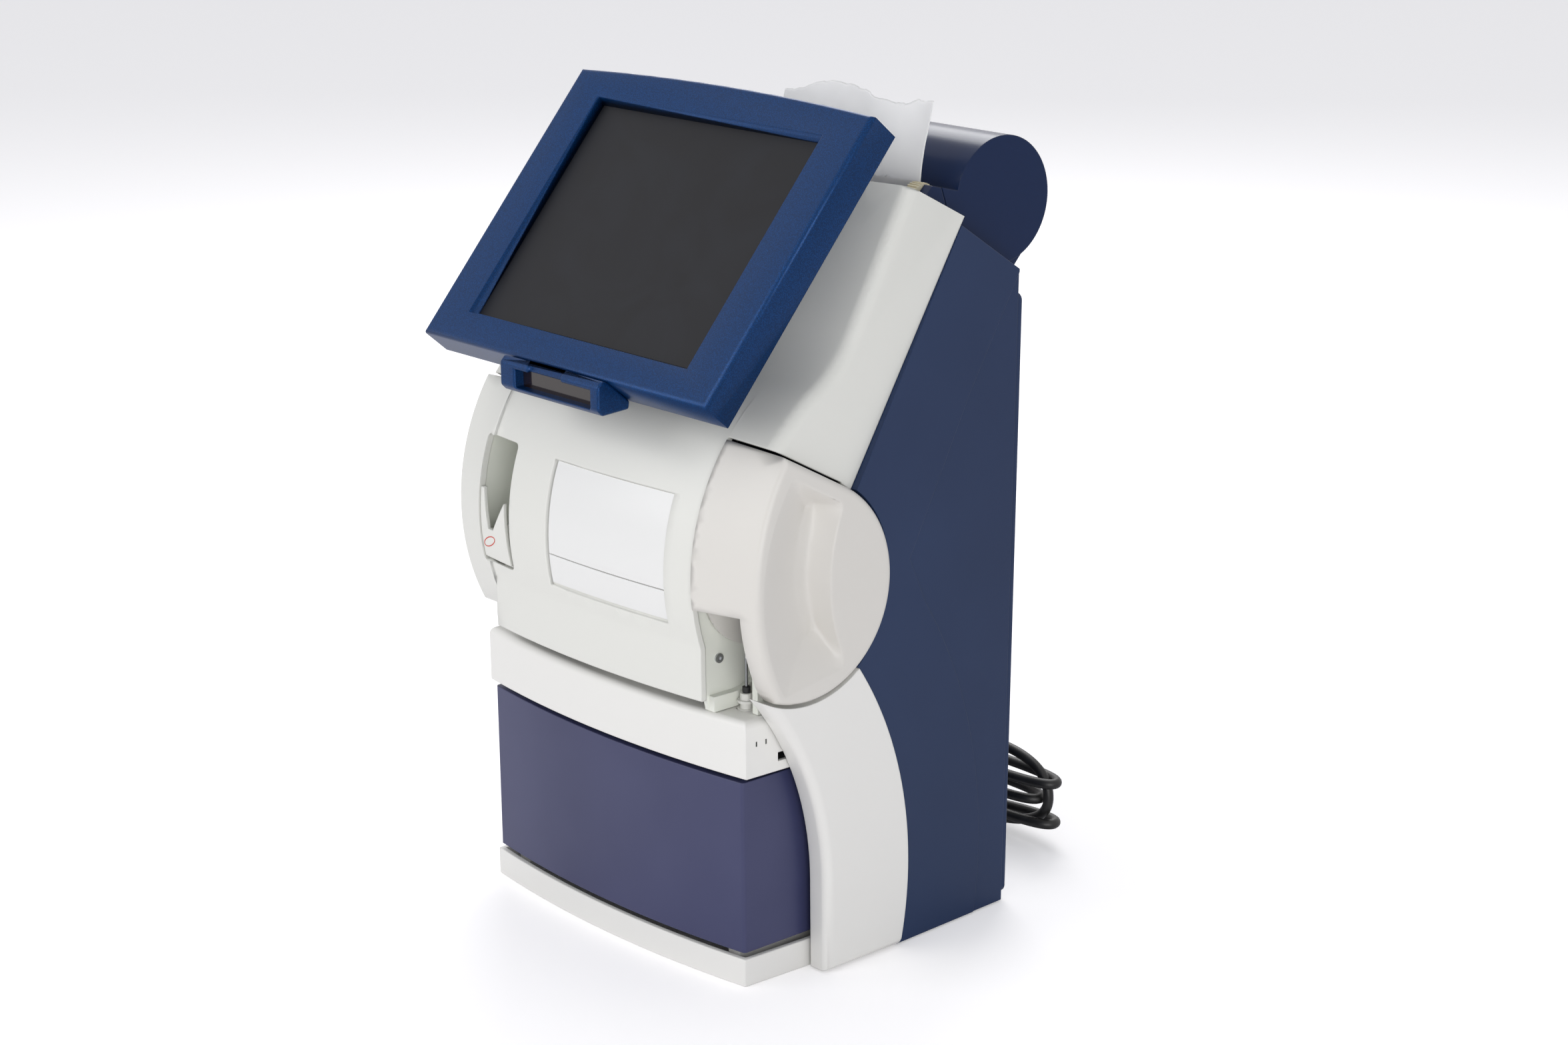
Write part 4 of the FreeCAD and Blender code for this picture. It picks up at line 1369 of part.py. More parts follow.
keep("platen_roller", platen.removeSplitter())

# The fixed cap round the slit, with a raised block at each end; the feed wheel runs in the right one.
cap = slab(-s.lid_half, s.wheel_in_x - s.seat_gap * 2, [
    (s.print_front_y + s.seat_gap, s.cap_front_z), (s.cap_back_y, s.cap_back_z),
    (s.cap_back_y, s.cap_back_z - s.cap_sheet), (s.print_front_y + s.seat_gap,
                                                 s.cap_front_z - s.cap_sheet)])
block_base = s.print_shelf_z + s.deck_sheet
seam_back = (s.wing_low_y - s.seat_gap * 2, s.wing_low_z)
block_steps = [
    (s.print_front_y + s.seat_gap, block_base), (s.cheek_back_y + s.deck_sheet / 4, block_base),
    (s.cheek_back_y + s.deck_sheet / 4, s.wing_low_z - s.wall), seam_back,
    (s.wing_front_y - s.seat_gap * 2, s.wing_front_z), (s.block_top_y, s.block_top_z),
    (s.print_front_y + s.seat_gap, s.block_front_z),
]
blocks = [slab(s.block_in_x, s.lid_half, block_steps), slab(-s.lid_half, -s.block_in_x, block_steps)]
bridge = box(s.wheel_in_x - s.wall, s.block_in_x, s.print_front_y + s.seat_gap,
             s.wheel_y - s.wheel_radius - s.seat_gap, s.cap_back_z - s.wall, s.cap_front_z - s.seat_gap)
cap = cap.fuse(blocks + [bridge]).cut(rod(s.block_in_x - s.wall, s.lid_half - s.cheek_sheet, s.wheel_y,
                                          s.wheel_z,
                               s.shaft_radius + s.fit_gap))
keep("printer_bezel", cap.removeSplitter())
wheel = rod(s.wheel_in_x, s.wheel_out_x, s.wheel_y, s.wheel_z, s.wheel_radius)
teeth = []
for k in range(int(s.tooth_count)):
    a = 360 / s.tooth_count * k
    at = on_circle(s.wheel_y, s.wheel_z, s.wheel_radius, a)
    groove = box(s.wheel_in_x - s.wall, s.wheel_out_x + s.wall, s.wheel_y + s.wheel_radius - s.tooth_depth,
                 s.wheel_y + s.wheel_radius + s.wall, s.wheel_z - s.tooth_depth, s.wheel_z + s.tooth_depth)
    groove.rotate(V(0, s.wheel_y, s.wheel_z), x_axis, a)
    teeth.append(groove)
wheel = wheel.cut(teeth).fuse(rod(s.wheel_in_x, s.lid_half - s.cheek_sheet - s.seat_gap, s.wheel_y,
                                  s.wheel_z,
                                  s.shaft_radius))
keep("feed_wheel", wheel.removeSplitter())
front = s.slit_y - s.paper_sheet
paper_steps = [
    (front, s.paper_low_z), (s.slit_y, s.paper_low_z), (s.slit_y, s.paper_bend_z),
    (s.paper_mid_y + s.paper_sheet, s.paper_mid_z, s.paper_top_y + s.paper_sheet, s.paper_top_z),
    (s.paper_top_y, s.paper_top_z), (s.paper_mid_y, s.paper_mid_z, front, s.paper_bend_z),
]
keep("paper_tail", slab(s.paper_left_x, s.paper_right_x, paper_steps))

# The mains lead: a free run, a loose hank and a tail, with a connector and a plug.


def rounded_path(points):
    """Straight runs joined by tangent arcs; prints how tight the arcs are."""
    edges = []
    radii = []
    here = points[0]
    for a, b, c in zip(points, points[1:], points[2:]):
        into = (b - a).normalize()
        out = (c - b).normalize()
        turn = into.getAngle(out)
        reach = cord_arc_share * min((b - a).Length, (c - b).Length)
        radius = reach / math.tan(turn / 2)
        inward = (out - into).normalize()
        centre = b + inward * (radius / math.cos(turn / 2))
        start = b - into * reach
        end = b + out * reach
        edges.append(Part.LineSegment(here, start).toShape())
        edges.append(Part.Arc(start, centre - inward * radius, end).toShape())
        radii.append(round(radius, 1))
        here = end
    edges.append(Part.LineSegment(here, points[-1]).toShape())
    print("arc radii", radii)
    return Part.Wire(edges)


def tube(points):
    """A round cord along a path, its volume compared with section times length."""
    path = rounded_path(points)
    direction = (points[1] - points[0]).normalize()
    section = Part.Wire(Part.Circle(points[0], direction, s.cord_diameter / 2).toShape())
    body = path.makePipeShell([section], True, False)
    expected = math.pi * (s.cord_diameter / 2) ** 2 * path.Length
    print("cord volume", round(body.Volume / expected, 4), "length", round(path.Length, 1))
    return body, path


relief_end_y = inlet_front_y + s.seat_gap + s.connector_length + s.relief_length
lead_route = [
    V(s.inlet_x, relief_end_y, s.inlet_z), V(-93, 147, 59), V(-90, 166, 46), V(-78, 174, 28),
    V(-56, 171, 14),
    V(-32, 165.5, 9.5),
]
coil_route = [
    V(-32, 165.5, 9.5), V(-14, 161.375, 6.125), V(81.5, 162, 15), V(81.5, 138, 16.5), V(-62, 138, 20),
    V(-62, 162, 24), V(70.7, 162, 27.5), V(70.7, 138, 28.5), V(-66, 138, 32), V(-66, 162, 36),
    V(82.7, 162, 39.5),
    V(82.7, 138, 40.5), V(-77, 139, 42.5), V(-79, 149.5, 6.2), V(77.3, 150.5, 5.9), V(77.3, 151, 53.1),
    V(-20, 152, 50),
]
coil_out = (coil_route[-1] - coil_route[-2]).normalize()
tail_route = [
    V(-20, 152, 50), V(-20, 152, 50) + coil_out * s.tail_run, V(-64, 163, 43), V(-84, 182, 38),
    V(-109, 189, 26),
    V(-130, 177, 16), V(-138, 152, 12.4), V(-138, 133, 12.4),
]
lead = tube(lead_route)[0]
coil, coil_path = tube(coil_route)
tail = tube(tail_route)[0]
keep("cord_lead", lead)
keep("cord_coil", coil)
keep("cord_tail", tail)
# The least gap of the coil to itself, measured between points more than a few diameters apart along it.
samples = coil_path.discretize(Distance=s.cord_diameter / 4)
skip = 16
least = min(a.distanceToPoint(b) for i, a in enumerate(samples) for b in samples[i + skip:])
print("least gap of the coil to itself", round(least - s.cord_diameter, 2))
nose_y = inlet_front_y - s.inlet_body / 2 + s.net_wall
body_y = inlet_front_y + s.seat_gap
nose = box(s.inlet_x - s.connector_width / 2, s.inlet_x + s.connector_width / 2, nose_y, body_y,
           s.inlet_z - s.connector_height / 2, s.inlet_z + s.connector_height / 2)
grow = s.net_wall * 1.5
body = box(s.inlet_x - s.connector_width / 2 - grow, s.inlet_x + s.connector_width / 2 + grow, body_y,
           body_y + s.connector_length, s.inlet_z - s.connector_height / 2 - grow,
           s.inlet_z + s.connector_height / 2 + grow)
body = fillet_near(body, grow, lambda e: abs(e.CenterOfMass.y - body_y - s.connector_length / 2) < s.fit_gap)
relief = Part.makeCone(s.relief_radius, s.cord_diameter / 2 + s.seat_gap * 2, s.relief_length,
                       V(s.inlet_x, body_y + s.connector_length, s.inlet_z), y_axis)
keep("cord_connector", nose.fuse([body, relief]).removeSplitter())
plug_at = tail_route[-1]
plug_axis = (tail_route[-1] - tail_route[-2]).normalize()
plug = Part.makeCone(s.cord_diameter / 2 + s.seat_gap * 2, s.relief_radius, s.plug_neck, plug_at, plug_axis)
plug = plug.fuse(Part.makeCone(s.relief_radius, s.plug_radius, s.plug_neck / 2,
                               plug_at + plug_axis * s.plug_neck,
                               plug_axis))
plug = plug.fuse(Part.makeCylinder(s.plug_radius, s.plug_length - s.plug_neck * 1.5,
                                   plug_at + plug_axis * (s.plug_neck * 1.5), plug_axis))
for side in (-1, 1):
    foot = plug_at + plug_axis * s.plug_length + V(side * s.plug_pin_gap, 0, 0) * pin_spread_share
    plug = plug.fuse(Part.makeCylinder(s.plug_pin_radius, s.pin_length, foot, plug_axis))
keep("mains_plug", plug.removeSplitter())

# Every piece is checked before it is written out.
doc.recompute()
for item in doc.Objects:
    if "Invalid" in item.State or "Error" in item.State:
        raise RuntimeError("%s did not recompute: %s" % (item.Name, item.State))
faults = []
for piece in nodes:
    shape = piece.Shape
    if shape.isNull() or not shape.isValid() or not shape.Solids:
        faults.append("%s: null %s, solids %d" % (piece.Label, shape.isNull(), len(shape.Solids)))
        continue
    print(piece.Label, len(shape.Solids), round(shape.Volume))
    shape.exportStep("parts/%s.step" % piece.Label)
print(len(nodes), "nodes")
if faults:
    raise RuntimeError("no valid solid in " + "; ".join(faults))
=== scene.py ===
import math

import bmesh
import bpy
from mathutils import Matrix, Vector, noise


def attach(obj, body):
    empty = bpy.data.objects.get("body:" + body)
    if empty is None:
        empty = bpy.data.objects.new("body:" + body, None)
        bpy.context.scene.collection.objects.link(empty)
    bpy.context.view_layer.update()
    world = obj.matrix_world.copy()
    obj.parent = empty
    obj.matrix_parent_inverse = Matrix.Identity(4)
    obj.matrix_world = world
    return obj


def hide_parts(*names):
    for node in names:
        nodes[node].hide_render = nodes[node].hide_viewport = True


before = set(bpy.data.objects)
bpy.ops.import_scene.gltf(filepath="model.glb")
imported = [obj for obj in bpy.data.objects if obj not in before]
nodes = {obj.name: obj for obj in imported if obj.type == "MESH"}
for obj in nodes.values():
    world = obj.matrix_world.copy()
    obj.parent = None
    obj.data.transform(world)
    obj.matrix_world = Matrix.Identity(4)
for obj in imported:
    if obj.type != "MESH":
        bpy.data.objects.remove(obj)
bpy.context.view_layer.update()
scene = bpy.context.scene

# The camera stands to the right of the analyzer and a little above it, at the distance from
# which the photograph was taken, with a lens a good deal longer than normal.
turn_deg, rise_deg, tilt_deg = 48.595, 16.254, -0.540
camera_spot = (1.23718, -1.06738, 0.68055)
lens_mm, sensor_mm = 73.466, 36
nearest, farthest = 0.05, 50
turn, rise, tilt = [math.radians(angle) for angle in (turn_deg, rise_deg, tilt_deg)]
ahead = Vector((-math.sin(turn) * math.cos(rise), math.cos(turn) * math.cos(rise), -math.sin(rise)))
aside = Vector((math.cos(turn), math.sin(turn), 0))
over = aside.cross(ahead)
level = aside * math.cos(tilt) + over * math.sin(tilt)
upright = over * math.cos(tilt) - aside * math.sin(tilt)
lens = bpy.data.cameras.new("camera")
lens.sensor_width = sensor_mm
lens.lens = lens_mm
lens.clip_start, lens.clip_end = nearest, farthest
camera = bpy.data.objects.new("camera", lens)
scene.collection.objects.link(camera)
facing = Matrix((level, upright, -ahead)).transposed().to_4x4()
camera.matrix_world = Matrix.Translation(camera_spot) @ facing
scene.camera = camera


# Lengths are in metres, and mm turns a number of millimetres into them.
mm = 0.001
# The bump of a moulding's grain is kept low, and its gloss differs a little from place to place.
grain_strength, grain_detail = 0.35, 2.0
cloud_scale, cloud_detail = 14.0, 4.0
gloss_down, gloss_up = 0.05, 0.07
edge_samples = 6
# In a copied mesh, points closer than this are one, and faces flatter to each other than this are one.
weld_gap = 2e-6
flat_deg = 0.4
sharp_default_deg = 32.0


def linear(code):
    """An sRGB hex colour as linear red, green, blue and alpha."""
    parts = [int(code[i:i + 2], 16) / 255 for i in (1, 3, 5)]
    return tuple(p / 12.92 if p <= 0.04045 else ((p + 0.055) / 1.055) ** 2.4 for p in parts) + (1.0,)


def material(name, colour, roughness, **sockets):
    """A new material whose shader has these constants on its own sockets."""
    made = bpy.data.materials.new(name)
    made.use_nodes = True
    shader = made.node_tree.nodes["Principled BSDF"]
    shader.inputs["Base Color"].default_value = linear(colour)
    shader.inputs["Roughness"].default_value = roughness
    for key, value in sockets.items():
        shader.inputs[key.replace("_", " ")].default_value = value
    return made


def add(made, kind, settings=None, **links):
    """Adds a node with its settings and links; a link is (node, output) or a plain value."""
    tree = made.node_tree
    node = tree.nodes.new("ShaderNode" + kind)
    for key, value in (settings or {}).items():
        setattr(node, key, value)
    for key, value in links.items():
        socket = node.inputs[int(key[1:])] if key[1:].isdigit() else node.inputs[key.replace("_", " ")]
        if isinstance(value, tuple) and isinstance(value[0], bpy.types.Node):
            tree.links.new(value[0].outputs[value[1]], socket)
        else:
            socket.default_value = value
    return node


def feed(made, key, node, output):
    """Leads a node's output into the material's shader."""
    tree = made.node_tree
    tree.links.new(node.outputs[output], tree.nodes["Principled BSDF"].inputs[key])


def shade_between(made, factor, output, low, high, start, end):
    """Colours the surface between two hex colours by a factor from start to end."""
    ramp = add(made, "ValToRGB", Fac=(factor, output))
    ramp.color_ramp.elements[0].position, ramp.color_ramp.elements[1].position = start, end
    ramp.color_ramp.elements[0].color, ramp.color_ramp.elements[1].color = linear(low), linear(high)
    feed(made, "Base Color", ramp, "Color")


def moulded(made, grain_mm, height_mm, edge_mm):
    """A fine spark-eroded grain over the surface, its sharp edges rounded as a mould leaves them."""
    place = add(made, "TexCoord")
    grain = add(made, "TexNoise", Vector=(place, "Object"), Scale=1 / (grain_mm * mm), Detail=grain_detail)
    edge = add(made, "Bevel", {"samples": edge_samples}, Radius=edge_mm * mm)
    bump = add(made, "Bump", Strength=grain_strength, Distance=height_mm * mm, Height=(grain, "Fac"),
               Normal=(edge, "Normal"))
    feed(made, "Normal", bump, "Normal")
    cloud = add(made, "TexNoise", Vector=(place, "Object"), Scale=cloud_scale, Detail=cloud_detail)
    rough = made.node_tree.nodes["Principled BSDF"].inputs["Roughness"].default_value
    spread = add(made, "MapRange", Value=(cloud, "Fac"), To_Min=rough - gloss_down, To_Max=rough + gloss_up)
    feed(made, "Roughness", spread, "Result")
    return made


def new_piece(name, mesh, body, made, slot, *stands_for):
    """Links a finished mesh as a piece of the object, dressed and riding on its body."""
    piece = bpy.data.objects.new(name, mesh)
    scene.collection.objects.link(piece)
    if made:
        mesh.materials.clear()
        mesh.materials.append(made)
    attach(piece, body)
    if stands_for:
        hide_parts(*stands_for)
    return piece


def dress(node_name, made):
    """Gives a CAD node a better material."""
    data = nodes[node_name].data
    data.materials.clear()
    data.materials.append(made)


def soft_copy(node_name, piece_name, body, made, slot, edge_mm=0.0, steps=2,
              sharp_deg=sharp_default_deg):
    """A merged copy of a CAD node, its sharp edges rounded and its curved faces shaded smooth."""
    mesh = nodes[node_name].data.copy()
    mesh.name = piece_name
    shape = bmesh.new()
    shape.from_mesh(mesh)
    bmesh.ops.remove_doubles(shape, verts=shape.verts, dist=weld_gap)
    if edge_mm:
        bmesh.ops.dissolve_limit(shape, angle_limit=math.radians(flat_deg), verts=shape.verts,
                                 edges=shape.edges)
        sharp = [e for e in shape.edges if e.is_manifold and e.calc_face_angle(0) > math.radians(sharp_deg)]
        bmesh.ops.bevel(shape, geom=sharp, offset=edge_mm * mm, offset_type="OFFSET", affect="EDGES",
                        segments=steps, profile=0.5, clamp_overlap=True, material=-1)
    shape.to_mesh(mesh)
    shape.free()
    mesh.shade_smooth()
    mesh.set_sharp_from_angle(angle=math.radians(sharp_deg))
    piece = new_piece(piece_name, mesh, body, made, slot, node_name)
    weigh = piece.modifiers.new("weigh", "WEIGHTED_NORMAL")
    weigh.keep_sharp = True
    return piece


# The mains lead is black PVC flex, 5.8 mm thick. It leaves the inlet at the back, drops to the bench and
# lies in a loose hank close behind the case; the plug lies on its side next to the hank.
flex_black = material("flexible PVC, black", "#131314", 0.42)
flex_place = add(flex_black, "TexCoord")
flex_dust = add(flex_black, "TexNoise", Vector=(flex_place, "Object"), Scale=60.0, Detail=5.0)
shade_between(flex_black, flex_dust, "Fac", "#101011", "#242424", 0.45, 0.75)
flex_grain = add(flex_black, "TexNoise", Vector=(flex_place, "Object"), Scale=900.0)
flex_bump = add(flex_black, "Bump", Strength=0.2, Distance=0.1 * mm, Height=(flex_grain, "Fac"))
feed(flex_black, "Normal", flex_bump, "Normal")

lead_thick_mm = 5.8
# The route in millimetres: the free run down from the case, the turns of the hank and the tail.
lead_points = [
    (-92, 126, 62), (-93, 147, 59), (-90, 166, 46), (-78, 174, 28), (-56, 171, 14), (-32, 165.5, 9.5),
    (-14, 161.375, 6.125), (81.5, 162, 15), (81.5, 138, 16.5), (-62, 138, 20), (-62, 162, 24),
    (70.7, 162, 27.5), (70.7, 138, 28.5), (-66, 138, 32), (-66, 162, 36), (82.7, 162, 39.5),
    (82.7, 138, 40.5), (-77, 139, 42.5), (-79, 149.5, 6.2), (77.3, 150.5, 5.9), (77.3, 151, 53.1),
    (-20, 152, 50), (-44.9, 152.3, 49.2), (-64, 163, 43), (-84, 182, 38), (-109, 189, 26),
    (-130, 177, 16), (-138, 152, 12.4), (-138, 133, 12.4),
]
lead_curve = bpy.data.curves.new("mains_lead", "CURVE")
lead_curve.dimensions = "3D"
lead_spline = lead_curve.splines.new("NURBS")
lead_spline.points.add(len(lead_points) - 1)
for control, point in zip(lead_spline.points, lead_points):
    control.co = (*Vector(point) * mm, 1)
lead_spline.order_u = 3
lead_spline.use_endpoint_u = True
lead_spline.resolution_u = 24
lead_curve.bevel_depth = lead_thick_mm / 2 * mm
lead_curve.bevel_resolution = 5
lead_curve.use_fill_caps = True
lead_curve.materials.append(flex_black)
mains_lead = bpy.data.objects.new("mains_lead", lead_curve)
scene.collection.objects.link(mains_lead)
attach(mains_lead, "chassis")
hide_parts("cord_lead", "cord_coil", "cord_tail")

# The plug, the appliance connector and its tapered relief are moulded on to the lead in black PVC.
# The relief is cut by rings so that it bends; it reaches 17 mm from the connector.
moulded_black = moulded(material("moulded PVC, black", "#18181a", 0.5), 0.9, 0.05, 0.8)
dress("mains_plug", moulded_black)
dress("cord_connector", moulded_black)
groove_count, groove_start, groove_pitch, groove_width = 7, 1.2, 2.2, 0.8
relief_bore, relief_radius, groove_radius, ridge_radius = 4.9, 5.6, 4.5, 5.5
ridge_taper, groove_taper = 0.3, 0.2
relief_length, tip_radius, tip_bore = 16.8, 3.4, 2.9
relief_sides, relief_crease_deg = 28, 40
relief_spot = (-0.092, 0.1094, 0.062)
# The outline is a list of distances along the lead with the radius there, in millimetres.
profile = [(0.0, relief_bore), (0.0, relief_radius)]
for step in range(groove_count):
    start = groove_start + step * groove_pitch
    floor_radius = groove_radius - step * groove_taper
    profile += [(start, relief_radius - step * ridge_taper), (start, floor_radius),
                (start + groove_width, floor_radius),
                (start + groove_width, ridge_radius - step * ridge_taper)]
profile += [(relief_length, tip_radius), (relief_length, tip_bore)]
relief = bmesh.new()
line = [relief.verts.new(Vector((radius, 0, along)) * mm) for along, radius in profile]
for a, b in zip(line, line[1:]):
    relief.edges.new((a, b))
bmesh.ops.spin(relief, geom=relief.verts[:] + relief.edges[:], cent=(0, 0, 0), axis=(0, 0, 1),
               angle=math.tau, steps=relief_sides, use_merge=True)
bmesh.ops.remove_doubles(relief, verts=relief.verts, dist=weld_gap / 2)
bmesh.ops.transform(relief, verts=relief.verts,
                    matrix=Matrix.Translation(relief_spot) @ Matrix.Rotation(-math.pi / 2, 4, "X"))
bmesh.ops.recalc_face_normals(relief, faces=relief.faces)
relief_mesh = bpy.data.meshes.new("strain_relief")
relief.to_mesh(relief_mesh)
relief_mesh.shade_smooth()
relief_mesh.set_sharp_from_angle(angle=math.radians(relief_crease_deg))
strain_relief = new_piece("strain_relief", relief_mesh, "chassis", moulded_black, "black_plastic")

# The base is a shallow tray of white ABS with a bowed front, standing on four grey rubber pads.
# It is one moulding with the runners that carry the solution pack.
trim_white = moulded(material("moulded ABS, white", "#e9e8e4", 0.40), 0.8, 0.04, 0.8)
pad_grey = moulded(material("moulded rubber, grey", "#55575b", 0.8), 0.7, 0.08, 0.4)
soft_copy("base_tray", "base_tray_shell", "chassis", trim_white, "white_shell", 0.7)
dress("foot_pads", pad_grey)

# The solution pack is a smooth box of dark violet-blue polypropylene with a bowed front, which slides out
# forwards. Its skin has a faint sheen and is a little cloudy.
pack_blue = moulded(material("moulded polypropylene, violet blue", "#3a3d5e", 0.36, Specular_IOR_Level=0.4),
                    1.2, 0.03, 1.0)
pack_place = add(pack_blue, "TexCoord")
pack_cloud = add(pack_blue, "TexNoise", Vector=(pack_place, "Object"), Scale=9.0, Detail=3.0)
shade_between(pack_blue, pack_cloud, "Fac", "#373a5c", "#414466", 0.35, 0.7)
soft_copy("pack_shell", "solution_pack_box", "solution_pack", pack_blue, "pack_blue", 0.8)

# The ledge over the pack is white ABS and carries two small status lights and a USB socket in its right end.
# The lights are clear windows in narrow slots.
soft_copy("ledge", "ledge_strip", "chassis", trim_white, "white_shell", 0.9)
light_clear = material("clear polycarbonate, light pipe", "#30322f", 0.2)
dress("light_lenses", light_clear)
socket_steel = material("nickel-plated steel, stamped", "#a9aaac", 0.32, Metallic=1.0)
for name in ("usb_socket", "network_socket"):
    dress(name, socket_steel)

# The arch trims are white ABS strips that sweep from the floor up to the handle, one each side.
# Their outer edges are well rounded.
for side in ("right", "left"):
    soft_copy("arch_" + side, "arch_trim_" + side, "chassis", trim_white, "white_shell")

# The side covers and the rear cover are ABS painted navy blue with a fine orange-peel texture.
# A shallow step sweeps down each side.
case_blue = moulded(material("painted ABS, navy", "#1e3052", 0.38, Specular_IOR_Level=0.3), 1.0, 0.06, 0.6)
case_place = add(case_blue, "TexCoord")
case_cloud = add(case_blue, "TexNoise", Vector=(case_place, "Object"), Scale=6.0, Detail=3.0)
shade_between(case_blue, case_cloud, "Fac", "#1b2d4e", "#223558", 0.3, 0.7)
for side in ("right", "left"):
    soft_copy("side_cover_" + side, "side_panel_" + side, "chassis", case_blue, "blue_side", 0.5)
soft_copy("rear_cover", "rear_panel", "chassis", case_blue, "blue_side", 0.8)
screw_steel = material("zinc-plated steel, machined", "#b4b6b8", 0.35, Metallic=1.0)
dress("rear_screws", screw_steel)
inlet_black = moulded(material("moulded nylon, black", "#161617", 0.45), 0.8, 0.04, 0.5)
dress("power_inlet", inlet_black)

# The front cover is one large ABS moulding, warm white with a satin, spark-eroded skin: a drum that flows
# into the leaning neck, with the mixer's window on the left and the handle's seam on the right.
shell_white = moulded(material("moulded ABS, front cover white", "#e1e1db", 0.38), 0.9, 0.05, 1.0)
soft_copy("front_cover", "front_shell", "chassis", shell_white, "white_shell", sharp_deg=35)

# The front plate and the flap below it are thin white sheet set in a shallow seat of the drum.
# They are left plain.
plate_white = moulded(material("polyester film, white", "#e8e8e6", 0.3), 1.5, 0.01, 0.3)
for name in ("front_plate", "lower_flap"):
    dress(name, plate_white)

# The inlet handle is a thin ABS shell in a warmer white, with a deep grip in its side that the fingers
# hook into; behind it a disc closes the bay, and a steel pin carries both. The faces of the grip, from its
# floor up to the flat side face, are smoothed into one soft hollow.
handle_white = moulded(material("moulded ABS, handle white", "#dad7d1", 0.40), 0.9, 0.05, 1.6)
pod = soft_copy("handle_shell", "inlet_handle_shell", "inlet_handle", handle_white, "warm_white",
                sharp_deg=58)
grip_floor = Vector((0.109, -0.066, 0.213))
grip_rim_x = 0.12155
facing_out, smooth_rounds, smooth_share = 0.5, 110, 0.5
grip = bmesh.new()
grip.from_mesh(pod.data)
well_seed = min((f for f in grip.faces if f.normal.x > facing_out),
                key=lambda f: (f.calc_center_median() - grip_floor).length)
well, reached = {well_seed}, [well_seed]
while reached:
    for edge in reached.pop().edges:
        for face in edge.link_faces:
            if face not in well and min(v.co.x for v in face.verts) < grip_rim_x:
                well.add(face)
                reached.append(face)
loose = [v for v in {v for f in well for v in f.verts} if all(f in well for f in v.link_faces)]
for _ in range(smooth_rounds):
    bmesh.ops.smooth_vert(grip, verts=loose, factor=smooth_share, use_axis_x=True, use_axis_y=True,
                          use_axis_z=True)
for edge in {e for f in well for e in f.edges if all(g in well for g in e.link_faces)}:
    edge.smooth = True
grip.to_mesh(pod.data)
grip.free()
soft_copy("handle_disc", "inlet_disc", "inlet_handle", handle_white, "warm_white")
pin_steel = material("ground steel", "#9c9ea1", 0.25, Metallic=1.0)
for name in ("handle_pivot", "probe_needle", "hinge_pin"):
    dress(name, pin_steel)

# The inlet bay is pale grey moulded polycarbonate: the side plate, its wavy foot and the probe's carrier.
# The wash port is turned from acetal, and its seal is dark silicone.
bay_grey = moulded(material("moulded polycarbonate, pale grey", "#e9ebe2", 0.42), 0.9, 0.04, 0.6)
soft_copy("inlet_bracket", "inlet_bay_bracket", "chassis", bay_grey, "grey_plastic", 0.4)
dress("bracket_screw", screw_steel)
dress("probe_carrier", bay_grey)
port_white = moulded(material("turned acetal, white", "#e6e5e0", 0.35), 0.9, 0.02, 0.3)
dress("wash_port", port_white)
seal_dark = moulded(material("moulded silicone, dark", "#2b2b2d", 0.6), 0.8, 0.03, 0.3)
dress("port_seal", seal_dark)

# The mixer's cradle is a curved white shield with a notch, and a trough behind it for a sample syringe.
# A thin red ring is printed on it; the bay behind is a pale greenish white.
soft_copy("mixer_cradle", "mixer_shield", "cradle", shell_white, "clear_cradle")
liner_pale = moulded(material("moulded ABS, pale green-white", "#eff1e8", 0.45), 0.9, 0.04, 0.6)
dress("mixer_bay", liner_pale)
# The ring's half axes and centre, its slant, and the drum's surface that it lies on, in millimetres.
ring_inner, ring_outer = (6.0, 2.0), (6.8, 2.6)
ring_x, ring_z = -84.0, 198.2
slant_cos, slant_sin = 0.91, 0.41
ring_points = 72
drum_y, drum_z, print_radius = -4.4, 212, 112.05
crown_y = 563
ring = bmesh.new()
bmesh.ops.create_circle(ring, cap_ends=False, segments=ring_points, radius=1.0)
inner = bmesh.ops.extrude_edge_only(ring, edges=ring.edges[:])["geom"]
inner_verts = [g for g in inner if isinstance(g, bmesh.types.BMVert)]
for vert in ring.verts:
    half_x, half_z = ring_inner if vert in inner_verts else ring_outer
    across, up = vert.co.x * half_x, vert.co.y * half_z
    x = ring_x + across * slant_cos - up * slant_sin
    z = ring_z + across * slant_sin + up * slant_cos
    flat_y = drum_y - math.sqrt(print_radius ** 2 - (z - drum_z) ** 2)
    vert.co = Vector((x, crown_y - math.sqrt((crown_y - flat_y) ** 2 - x ** 2), z)) * mm
bmesh.ops.recalc_face_normals(ring, faces=ring.faces)
if sum(f.normal.y for f in ring.faces) > 0:
    bmesh.ops.reverse_faces(ring, faces=ring.faces)
ring_mesh = bpy.data.meshes.new("red_ring")
ring.to_mesh(ring_mesh)
ink_red = material("screen-printed ink, red", "#c8402e", 0.45)
new_piece("printed_ring", ring_mesh, "cradle", ink_red, "clear_cradle")

